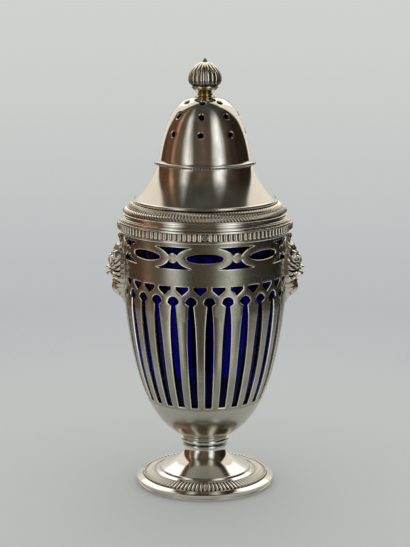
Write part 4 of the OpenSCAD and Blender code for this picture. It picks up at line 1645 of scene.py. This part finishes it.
@dataclass
class Liner(SubAssembly):
    """The blown glass liner that stands loose in the body."""

    rides_on: ClassVar[Body] = Body.GLASS
    vase: Vase | None = None
    glass: float = 2.2
    clear: float = 0.35
    flat_d: float = 30.0
    straight: float = 5.0
    lip_in: float = 0.6
    bend: float = 0.6
    blend: float = 1.0
    crease: float = 60.0

    def build(self) -> None:
        """Build and dress the liner, a cup that follows the inside of the body."""
        profile = self.vase.profile
        lip_z, lip = high("liner"), self.glass / 2
        lip_r = float(profile.r[-1]) - self.sheet - self.clear - self.lip_in
        wall = [p for p in profile.stretch(0, profile.length, self.sheet + self.clear, 150)
                if p[0] > self.flat_d / 2 and p[1] < lip_z - self.straight - self.blend]
        flat_z = low("liner")
        outer = [(0.0, flat_z), (self.flat_d / 2 - 2 * self.edge, flat_z)] + wall
        outer += curve(wall[-1], (wall[-1][0], wall[-1][1] + self.bend), (lip_r, lip_z - self.straight),
                       (lip_r, lip_z - self.straight + self.blend), 6)[1:] + [(lip_r, lip_z - lip)]
        inner = [(max(r, 0.0), z) for r, z in inset(outer, self.glass)]
        inner[0] = (0.0, inner[0][1])
        outline = outer + arc((lip_r - lip, lip_z - lip), lip, 15, 165, 8) + inner[::-1]
        self.dress(closed_up(lathe("liner", outline), self.crease), Slot.GLASS, "liner")


@dataclass
class Cover(SubAssembly):
    """The pull-off cover: bezel, rim, milled band, bell, ring and pierced dome."""

    rides_on: ClassVar[Body] = Body.COVER
    bezel_wall: float = 0.9
    bell_inset: float = 3.6
    bell_waist_d: float = 44.4
    bell_sweep: float = 1.2
    waist_h: float = 0.6
    wire_h: float = 1.0
    wire_flat: float = 0.2
    wire_bend: float = 0.45
    rim_cove: float = 1.7
    rim_fillet: float = 1.2
    rim_soft: float = 0.28
    leaves: int = 150
    band_ledge: float = 0.8
    band_relief: float = 0.6
    band_lip: float = 0.3
    band_bite: float = 0.05
    # How far the band's face is drawn in at its foot and out at its head
    band_sweep: Point = (0.3, 1.2)
    leaf_start: float = 0.45
    beads: int = 104
    ring_step: float = 1.6
    ring_shoulder: float = 1.8
    ring_lip: Point = (0.7, 0.2)
    ring_round: float = 0.6
    ring_soft: float = 0.1
    ring_bright: float = 0.2
    ring_bead_in: float = 0.85
    ring_bead_z: float = 0.34
    ring_bead_h: float = 0.8
    ring_crease: float = 50.0
    dome_inset: float = 1.0
    dome_flat_r: float = 5.17
    dome_shoulder: float = 9.6
    dome_lean: float = 1.8
    stud_bore: float = 1.6
    hole_d: float = 2.8
    holes: int = 8
    hole_turn: float = -6.0
    hole_rows: tuple[float, ...] = (0.45, 0.73, 0.94)
    hole_bevel: float = 0.5
    dome_divisions: int = 24
    dome_pierced: float = 0.965

    def __post_init__(self) -> None:
        """Work out the cover's levels and radii from the frame."""
        self.z_seat, self.z_rim = low("lid_rim"), low("lid_milled_band")
        self.z_band, self.z_ring = low("bell_wire"), low("dome_ring")
        self.z_dome, self.z_top = low("lid_dome"), high("lid_dome")
        self.bezel_out = radius("lid_bezel")
        self.bell_r = self.bezel_out - self.bezel_wall - self.bell_inset
        self.waist_r = self.bell_waist_d / 2
        self.dome_r = self.waist_r - self.dome_inset

    def build(self) -> None:
        """Build and dress the cover's pieces from the bezel up."""
        bottom, top, edge = low("lid_bezel"), high("lid_bezel"), self.edge
        outer, inner = self.bezel_out, self.bezel_out - self.bezel_wall
        bezel = [(inner, bottom), (outer - edge, bottom), (outer, bottom + 2 * edge), (outer, top),
                 (inner, top)]
        self.turned(bezel, "lid_bezel")
        self.rim()
        self.leaf_band()
        self.wire(self.bell_r + self.solder_gap, self.wire_h, self.wire_flat, self.wire_bend, "bell_wire")
        foot, waist, bell_h = self.bell_r, self.waist_r, self.z_ring - self.z_band
        bell = [(foot, low("lid_bell"))]
        bell += curve((foot, self.z_band + self.wire_h * 0.6),
                      (foot - (foot - waist) * 0.45, self.z_band + bell_h * 0.32),
                      (waist + self.bell_sweep, self.z_band + bell_h * 0.65),
                      (waist, self.z_ring - self.waist_h), 60)
        self.spun(bell + [(waist, self.z_ring)], "lid_bell")
        self.dome_ring()
        self.dome()

    def rim(self) -> None:
        """Build the hollow moulded rim that sits on the collar."""
        r, z, edge = radius("lid_rim"), self.z_seat, self.edge
        h, cove, fillet = self.z_rim - self.z_seat, self.rim_cove, self.rim_fillet
        moulding = [(r, z), (r, z + h * 0.28)]
        moulding += curve((r - fillet, z + h * 0.34), (r - cove, z + h * 0.4), (r - cove, z + h * 0.6),
                          (r - fillet - edge, z + h * 0.72), 14)
        moulding += [(r - fillet, z + h * 0.76), (r - fillet, z + h)]
        inside, flange = self.bezel_out + self.solder_gap + edge, self.bell_r - self.sheet
        under = z + h - self.sheet
        outline = [(inside, z)] + moulding + [(flange, z + h), (flange, under), (inside, under)]
        self.turned(outline, "lid_rim", self.rim_soft)

    def leaf_band(self) -> None:
        """Build the milled band: a row of beads between two rows of slanted leaves."""
        inside, z0, z1 = self.bell_r + self.solder_gap, self.z_rim, self.z_band
        foot, head = radius("lid_milled_band"), inside + self.band_ledge
        h, relief, lip = z1 - z0, self.band_relief, self.band_lip
        face = curve((foot, z0 + self.edge), (foot - self.band_sweep[0], z0 + h * 0.3),
                     (head + self.band_sweep[1], z1 - h * 0.25), (head, z1), 40)
        profile = Profile(face)
        length = profile.length
        core = [(foot, z0)] + profile.stretch(0, lip, 0, 4)
        core += profile.stretch(lip, length - lip, relief, 12) + profile.stretch(length - lip, length, 0, 4)
        core += [(inside, z1)] + inset([(foot, z0)] + face + [(inside, z1)], self.sheet)[::-1]
        core = oxidised(lathe("leaf band core", core, segments=2 * self.leaves), inside + self.edge, foot,
                        z0 + lip, z1 - lip / 2)
        core = closed_up(core)
        pitch = math.tau * (foot + head) / 2 / self.leaves
        sunk = relief + self.band_bite

        def laid(way: float, side: float) -> Array:
            """Point sunk in the band's core at the front, at a distance up its face and to the side."""
            return profile.place(np.array([side / profile.radius_along(way)]), np.array([way]), sunk)[0]

        middle = length / 2
        slope = laid(middle, 0) - profile.place(np.zeros(1), np.array([middle]), relief + 1.0)[0]
        shares = np.array([0.0, 0.25, 0.65, 1.0])
        reach, lean = middle - lip - self.leaf_start, 1.5 * pitch
        # Leaves and beads take a painted highlight on their tops
        leaves = [pod(name, [laid(middle + way * (self.leaf_start + s * reach), lean * s) for s in shares],
                      pitch * np.array([0.3, 0.43, 0.42, 0.18]), sunk * np.array([0.5, 0.9, 0.85, 0.3]),
                      slope, tops=0.9)
                  for name, way in (("upper leaf", 1), ("lower leaf", -1))]
        bead = pod("band bead", [laid(middle + w, 0) for w in (-0.5, -0.3, 0.3, 0.5)],
                   pitch * np.array([0.2, 0.45, 0.45, 0.2]), sunk * np.array([0.4, 1.0, 1.0, 0.4]),
                   slope, tops=0.9)
        self.ringed("leaf band", core, "lid_milled_band",
                    Ring(leaves[0], self.leaves, sway=0.05, seed=8),
                    Ring(leaves[1], self.leaves, sway=0.05, seed=9),
                    Ring(bead, self.leaves, turn=180 / self.leaves, seed=10))

    def dome_ring(self) -> None:
        """Build the ring between bell and dome, with the fine row of beads under its edge."""
        r, z, h = radius("dome_ring"), self.z_ring, self.z_dome - self.z_ring
        bore = self.dome_r - self.sheet
        outline = [(bore, z), (r - self.ring_step, z), (r - self.ring_lip[0], z + self.ring_lip[1])]
        outline += arc((r - self.ring_round, z + h * 0.58), h * 0.27, -90, 90)
        outline += [(r - self.ring_shoulder, z + h), (bore, z + h)]
        core = lathe("dome ring core", softened(outline, self.ring_soft), segments=2 * self.beads)
        oxidised(core, bore + self.edge, r - self.ring_bright, z - self.edge, z + 0.35 * h)
        size = math.pi * r / self.beads * 0.68
        seat, middle = -(r - self.ring_bead_in), z + self.ring_bead_z
        rounding = np.array([0.25, 0.8, 1.0, 0.8, 0.25])
        # Each bead takes painted shade on its sides and a painted highlight on its top
        bead = pod("ring bead", [(0.0, seat, middle + size * s) for s in (-0.98, -0.6, 0.0, 0.6, 0.98)],
                   size * rounding, self.ring_bead_h * rounding, (0.0, -1.0, 0.0), sides=FLANK_SHADE, tops=0.6)
        self.ringed("dome ring", closed_up(core), "dome_ring", Ring(bead, self.beads, sway=0.1, seed=12),
                    slot=Slot.POLISHED, crease=self.ring_crease)

    def dome(self) -> None:
        """Build the dome from panels with one column of sugar holes each, and its plain flat top."""
        dome_h, flat = self.z_top - self.z_dome, self.dome_flat_r
        path = [(self.dome_r, self.z_dome)]
        path += curve((self.dome_r, self.z_dome + self.edge),
                      (self.dome_r - self.dome_lean, self.z_dome + dome_h * 0.483),
                      (flat + self.dome_shoulder, self.z_top), (flat, self.z_top), 90)
        profile = Profile(path)
        end = profile.length
        shoulder = self.dome_pierced * end
        panel = Panel(profile, 180 / self.holes, 0.0, shoulder, self.sheet, self.dome_divisions,
                      bevel=self.hole_bevel, rim_at_start=True)
        around = np.radians(np.linspace(0, 360, 28, endpoint=False))
        for share in self.hole_rows:
            way = float(profile.way_at(self.z_dome + share * dome_h))
            r, size = profile.radius_along(way), self.hole_d / 2
            panel.holes.append([(size * math.cos(t) / r * panel.scale, way + size * math.sin(t))
                                for t in around])
        segments = self.holes * self.dome_divisions
        top = profile.stretch(shoulder, end, 0, 8) + [(self.stud_bore, self.z_top)]
        top += [(self.stud_bore, self.z_top - self.sheet)] + profile.stretch(end, shoulder, self.sheet, 8)
        core = lathe("dome top", top, closed=False, segments=segments, turn=self.hole_turn)
        panels = Ring(panel.mesh("dome panel"), self.holes, turn=self.hole_turn, weld_mm=PANEL_WELD_MM)
        mesh = self.rings.lay("pierced dome", core, self.finishes[Slot.POLISHED], panels)
        mesh = closed_up(mesh, panel.crease, weld_mm=PANEL_WELD_MM)
        # The faces inside the dome are darkened as painted shade
        middle = Vector((0.0, 0.0, self.z_dome * MM))
        inside = [GROUND * (face.normal.dot((face.center - middle).normalized()) < -0.5)
                  for face in mesh.polygons]
        self.dress(marked(mesh, Mark.OXIDE, inside), Slot.POLISHED, "lid_dome")


@dataclass
class Finial(SubAssembly):
    """The lobed bud on its neck, with the stud, washer and nut that hold it."""

    rides_on: ClassVar[Body] = Body.COVER
    flare_d: float = 9.4
    head_d: float = 11.4
    waist_d: float = 6.8
    stud_d: float = 3.0
    stud_bore: float = 1.6
    bud_d: float = 15.5
    lobes: int = 18
    collar_h: float = 1.4
    collar_step: float = 0.6
    collar_round: float = 0.5
    tip_h: float = 1.9
    leaves: int = 7
    # The tip's outline as (radius, depth below the top)
    tip: tuple[Point, ...] = ((1.05, 1.15), (0.5, 0.4), (0.2, 0.0), (0.0, 0.0))
    tip_foot_r: float = 1.5
    # The tip leaf's spine as (distance out, height over its foot)
    tip_leaf: tuple[Point, ...] = ((0.5, 1.75), (1.5, 1.55), (2.6, 0.95), (3.3, 0.5))
    lobe_depth: float = 0.1
    lobe_sides: int = 6
    core_sides: int = 144
    core_crease: float = 40.0
    # Painted highlight on the lobes, and painted shade that is darkest at their foot and fades by this much
    # for each row up
    lobe_shine: float = 0.7
    foot_shade: float = 0.8
    shade_fade: float = 0.25

    def build(self) -> None:
        """Build and dress the neck, the bud and what holds them."""
        z, top, edge = low("finial_neck"), high("finial_neck"), self.edge
        h, flare, head = top - z, self.flare_d / 2, self.head_d / 2
        waist = self.waist_d / 2 - 2 * edge
        neck = [(self.stud_bore, z), (flare, z)]
        neck += curve((flare, z + edge), (waist, z + h * 0.15), (waist, z + h * 0.45), (head, top - edge), 24)
        self.turned(neck + [(head, top), (self.stud_bore, top)], "finial_neck", slot=Slot.WARM)
        self.bud(top)
        self.hoop(self.stud_bore, "finial_washer")
        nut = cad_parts["finial_nut"]
        nut.data.materials.clear()
        nut.data.materials.append(self.finishes[Slot.POLISHED])
        LOG.info("finial_nut: kept from the frame, %s", Slot.POLISHED.value)

    def bud(self, z: float) -> None:
        """Build the bud: lobes round an ovoid, a bright collar, a cap of leaves and the stud.

        Args:
            z: Height of its foot.
        """
        r, top = self.bud_d / 2, high("finial_bud")
        z0, h = z + self.collar_h, top - z - self.collar_h - self.tip_h
        swell = curve((0.82, 0), (1.21, 0.25), (0.94, 0.8), (0.16, 1), 24)
        depth = self.lobe_depth
        stud_r, foot = self.stud_d / 2, low("finial_bud")
        collar_r = r * 0.78
        outline = [(0.0, foot), (stud_r, foot), (stud_r, z), (collar_r - self.collar_step, z)]
        outline += arc((collar_r - self.collar_round, z + self.collar_h * 0.55), self.collar_h * 0.5,
                       -80, 80, 10)
        outline += [(r * x * (1 - depth), z0 + h * y) for x, y in swell]
        outline += [(self.tip_foot_r, top - self.tip_h)] + [(x, top - down) for x, down in self.tip]
        core = closed_up(lathe("bud core", outline, segments=self.core_sides), self.core_crease)
        picks = swell[::3]
        spine = [(0.0, -r * x * (1 - depth), z0 + h * y) for x, y in picks]
        wide = [r * x * math.tan(math.pi / self.lobes) * 0.97 for x, _ in picks]
        wide[0] *= 0.75
        tall = [depth * r * x * (0.5 if i == 0 else 1) for i, (x, _) in enumerate(picks)]
        lobe = self.lobe(spine, wide, tall)
        leaf_z = top - 2 * self.tip_h
        leaf = pod("tip leaf", [(0.0, -out, leaf_z + up) for out, up in self.tip_leaf],
                   np.array([0.35, 0.75, 0.85, 0.12]), np.array([0.15, 0.35, 0.45, 0.25]), (0.0, -0.45, 0.9))
        self.ringed("lobed bud", core, "finial_bud",
                    Ring(lobe, self.lobes, turn=180 / self.lobes, seed=14),
                    Ring(leaf, self.leaves, sway=2.0, seed=15))

    def lobe(self, spine: Sequence[Numbers], half_widths: Numbers, heights: Numbers) -> Mesh:
        """Build one lobe of the bud, which rises square to the bud's own face.

        Args:
            spine: Points along its foot, in the plane of the front.
            half_widths: Half width at each point.
            heights: Height at each point.

        Returns:
            The lobe.
        """
        line = np.array(spine)
        way = np.gradient(line, axis=0)
        rise = np.stack([np.zeros(len(line)), -way[:, 2], way[:, 1]], axis=1)
        rise /= np.linalg.norm(rise, axis=1)[:, None]
        across = np.tile((1.0, 0.0, 0.0), (len(line), 1))
        mesh, valley = half_round("bud lobe", line, half_widths, heights, across, rise, self.lobe_sides)
        # Valleys are painted shade, and the lower lobe faces take painted shade that is darkest at the foot
        # and fades upwards; the lighter faces take a painted highlight
        dark = [GROUND if deep else max(0.0, self.foot_shade - self.shade_fade * (i // self.lobe_sides))
                for i, deep in enumerate(valley)]
        marked(mesh, Mark.OXIDE, dark)
        marked(mesh, Mark.BURNISH, [self.lobe_shine * (share < 0.5) for share in dark])
        return closed_up(mesh, ORNAMENT_CREASE)


# Studio
@dataclass
class Studio:
    """A pale floor, a plain soft studio and the photograph's camera."""

    floor: str = "#c4c6c5"
    floor_r: float = 420.0
    floor_front: float = 95.0
    # Share of the floor's radius where its fade begins, and of its front where that one's fade ends
    floor_fade: float = 0.25
    front_fade: float = 1.25
    backdrop_top: str = "#d0d2cf"
    backdrop_low: str = "#b2b6b8"
    # Where the backdrop brightens, and the edges of backdrop, boards and ceiling, along the ray's direction
    backdrop_rise: Point = (-0.3, -0.02)
    backdrop_edge: Point = (0.86, 0.95)
    boards_edge: Point = (0.74, 0.79)
    ceiling_rise: Point = (0.5, 1.0)
    boards: str = "#f3ecdd"
    boards_lean: float = 0.4
    boards_close: float = 0.65
    boards_steep: float = 1.6
    strips_lean: float = 0.2
    strips_shift: float = 0.1
    ceiling: str = "#46463f"
    shade: str = "#1f1914"
    shade_share: float = 0.5
    shade_levels: Point = (0.42, 0.7)
    clutter: float = 2.6
    plain_light: str = "#f0f0ee"
    # The room's tones and their strengths, by angle from the camera's side, left to right
    room: tuple[tuple[float, str, float], ...] = (
        (-125, "#5e4330", 1.0), (-104, "#6e4b33", 1.0), (-96, "#6a5040", 1.0), (-91, "#c99f7c", 1.0),
        (-86, "#c49c7c", 1.0), (-79, "#75604e", 1.0), (-62, "#665443", 1.0), (-50, "#f0f1ee", 1.0),
        (-43, "#f0f1ee", 1.5), (-37, "#f0f1ee", 1.0), (-26, "#5c5040", 1.0), (-12, "#565046", 1.0),
        (0, "#695d4d", 1.0), (14, "#655b4d", 1.0), (24, "#f0f1ee", 1.0), (31, "#f0f1ee", 1.5),
        (38, "#f0f1ee", 1.5), (44, "#f0f1ee", 1.0), (55, "#5b5044", 1.0), (72, "#40372e", 1.0),
        (95, "#2b231b", 1.0), (125, "#2b241d", 1.0))
    lens: float = 109.35
    sensor: float = 36.0
    pitch: float = 11.54
    camera_at: tuple[float, float, float] = (0.0, -755.7, 254.6)
    lamp_at: tuple[float, float, float] = (0.0, 1100.0, 1100.0)
    lamp_aim: tuple[float, float, float] = (0.0, 0.0, 100.0)
    lamp_size: Point = (1800.0, 900.0)
    lamp_watts: float = 4.6

    def build(self) -> None:
        """Make the floor, the surroundings, the lamp and the camera."""
        scene = bpy.context.scene
        scene.view_settings.view_transform = "Standard"
        self.lay_floor()
        self.surround()
        self.hang_lamp()
        lens = bpy.data.cameras.new("photograph camera")
        lens.lens, lens.sensor_width = self.lens, self.sensor
        camera = bpy.data.objects.new("photograph camera", lens)
        camera.location = Vector(self.camera_at) * MM
        camera.rotation_euler = (math.radians(90 - self.pitch), 0.0, 0.0)
        scene.collection.objects.link(camera)
        scene.camera = camera

    def lay_floor(self) -> None:
        """Lay a pale paper floor that fades into the backdrop, and whose front the silver doesn't show."""
        mesh = lathe("floor", [(0.0, 0.0), (self.floor_r, 0.0)], closed=False, segments=96)
        material = blank_material("matt paper floor")
        tree = material.node_tree
        place = add_node(tree, "ShaderNodeTexCoord").outputs["Object"]
        away = add_node(tree, "ShaderNodeVectorMath", {"operation": "LENGTH"}, {0: place}).outputs["Value"]
        fade = mapped(tree, away, self.floor_fade * self.floor_r * MM, self.floor_r * MM, eased=True)
        near = add_node(tree, "ShaderNodeSeparateXYZ", None, {0: place}).outputs["Y"]
        front = mapped(tree, near, -self.floor_front * MM, -self.front_fade * self.floor_front * MM,
                       eased=True)
        ray = add_node(tree, "ShaderNodeLightPath").outputs
        unseen = reckoned(tree, "SUBTRACT", front, ray["Is Camera Ray"])
        gone = reckoned(tree, "MAXIMUM", fade, unseen)
        paper = add_node(tree, "ShaderNodeBsdfDiffuse", {"Color": linear(self.floor)})
        clear = add_node(tree, "ShaderNodeBsdfTransparent")
        mixed = add_node(tree, "ShaderNodeMixShader", None, {
            0: gone, 1: paper.outputs[0], 2: clear.outputs[0]})
        add_node(tree, "ShaderNodeOutputMaterial", None, {"Surface": mixed.outputs[0]})
        mesh.materials.append(material)
        floor = bpy.data.objects.new("floor", mesh)
        bpy.context.scene.collection.objects.link(floor)

    def surround(self) -> None:
        """Surround the caster with a pale backdrop behind it and a dim room before it."""
        world = bpy.data.worlds.new("studio")
        bpy.context.scene.world = world
        world.use_nodes = True
        # The floor takes a plain even light, which only works when no world light is sampled directly
        world.cycles.sampling_method = "NONE"
        tree = world.node_tree
        tree.nodes.clear()
        way = add_node(tree, "ShaderNodeTexCoord").outputs["Generated"]
        parts = add_node(tree, "ShaderNodeSeparateXYZ", None, {0: way}).outputs
        rise = mapped(tree, parts["Z"], *self.backdrop_rise, eased=True)
        backdrop = blended(tree, rise, self.backdrop_low, self.backdrop_top)
        sideways = reckoned(tree, "ABSOLUTE", parts["X"])
        upward = reckoned(tree, "MAXIMUM", parts["Z"], 0.0)
        room = self.dim_room(tree, way, sideways, upward)
        # The boards stand behind the caster at both sides, lean over it and close in overhead
        steep = reckoned(tree, "POWER", upward, self.boards_steep)
        near = reckoned(tree, "MULTIPLY", sideways, steep)
        over = reckoned(tree, "MULTIPLY_ADD", near, self.boards_close, parts["Y"])
        reach = reckoned(tree, "MULTIPLY_ADD", parts["Z"], self.boards_lean, over)
        beside = mapped(tree, reach, *self.boards_edge, eased=True)
        behind = mapped(tree, parts["Y"], *self.backdrop_edge, eased=True)
        colour = blended(tree, behind, blended(tree, beside, room, self.boards), backdrop)
        ray = add_node(tree, "ShaderNodeLightPath").outputs
        even_light = blended(tree, ray["Is Diffuse Ray"], colour, self.plain_light)
        # The camera sees the plain backdrop from every side, and through the glass as well
        through = reckoned(tree, "MAXIMUM", ray["Is Camera Ray"], ray["Is Transmission Ray"])
        seen = blended(tree, through, even_light, backdrop)
        light = add_node(tree, "ShaderNodeBackground", {"Strength": 1.0}, {"Color": seen})
        add_node(tree, "ShaderNodeOutputWorld", None, {"Surface": light.outputs[0]})

    def dim_room(self, tree: Tree, way: Socket, sideways: Socket, upward: Socket) -> Socket:
        """Colour the room that the silver shows, with its two bright strips.

        Args:
            tree: The world's tree.
            way: The ray's direction.
            sideways: How far it points to either side.
            upward: How far it points up, and nought below the level.

        Returns:
            The colour's socket.
        """
        parts = add_node(tree, "ShaderNodeSeparateXYZ", None, {0: way}).outputs
        # The strips lean outwards overhead, as upright tubes with their heads tipped away do
        drawn = reckoned(tree, "MULTIPLY_ADD", upward, -self.strips_lean, sideways)
        held = reckoned(tree, "MAXIMUM", drawn, 0.0)
        even = reckoned(tree, "MULTIPLY", held, reckoned(tree, "SIGN", parts["X"]))
        aside = reckoned(tree, "MULTIPLY_ADD", upward, self.strips_shift, even)
        angle = reckoned(tree, "ARCTAN2", aside, reckoned(tree, "MULTIPLY", parts["Y"], -1.0))
        walls = add_node(tree, "ShaderNodeValToRGB", None, {"Fac": mapped(tree, angle, -math.pi, math.pi)})
        stops = walls.color_ramp.elements
        for i, (degrees, tone, strength) in enumerate(self.room):
            stop = stops[i] if i < len(stops) else stops.new(1.0)
            stop.position, stop.color = 0.5 + degrees / 360, [strength * c for c in linear(tone)]
        up = mapped(tree, parts["Z"], *self.ceiling_rise, eased=True)
        above = blended(tree, up, walls.outputs[0], self.ceiling)
        clutter = add_node(tree, "ShaderNodeTexNoise", {
            "Scale": self.clutter, "Detail": 3.0, "Roughness": 0.55}, {"Vector": way})
        dark = mapped(tree, clutter.outputs[0], *self.shade_levels, 0.0, self.shade_share)
        return blended(tree, dark, above, self.shade)

    def hang_lamp(self) -> None:
        """Hang the soft panel lamp that faces the caster from behind and above."""
        light = bpy.data.lights.new("back panel", "AREA")
        light.shape = "RECTANGLE"
        light.size, light.size_y = self.lamp_size[0] * MM, self.lamp_size[1] * MM
        light.energy = self.lamp_watts
        lamp = bpy.data.objects.new("back panel", light)
        lamp.location = Vector(self.lamp_at) * MM
        aim = Vector(self.lamp_aim) - Vector(self.lamp_at)
        lamp.rotation_euler = aim.to_track_quat("-Z", "Y").to_euler()
        bpy.context.scene.collection.objects.link(lamp)


def main() -> None:
    """Build the caster from the foot up, then its studio."""
    logging.basicConfig(level=logging.INFO, format="%(name)s: %(message)s")
    looks = Finishes()
    finishes = {look.slot: look.material()
                for look in (looks.polished, looks.satin, looks.cast, looks.gilt, looks.glass)}
    rings = RingMaker()
    Foot(finishes, rings).build()
    vase = Vase(finishes, rings)
    vase.build()
    Mouth(finishes, rings).build()
    Liner(finishes, rings, vase=vase).build()
    Cover(finishes, rings).build()
    Finial(finishes, rings).build()
    Studio().build()


if __name__ == "__main__":
    main()
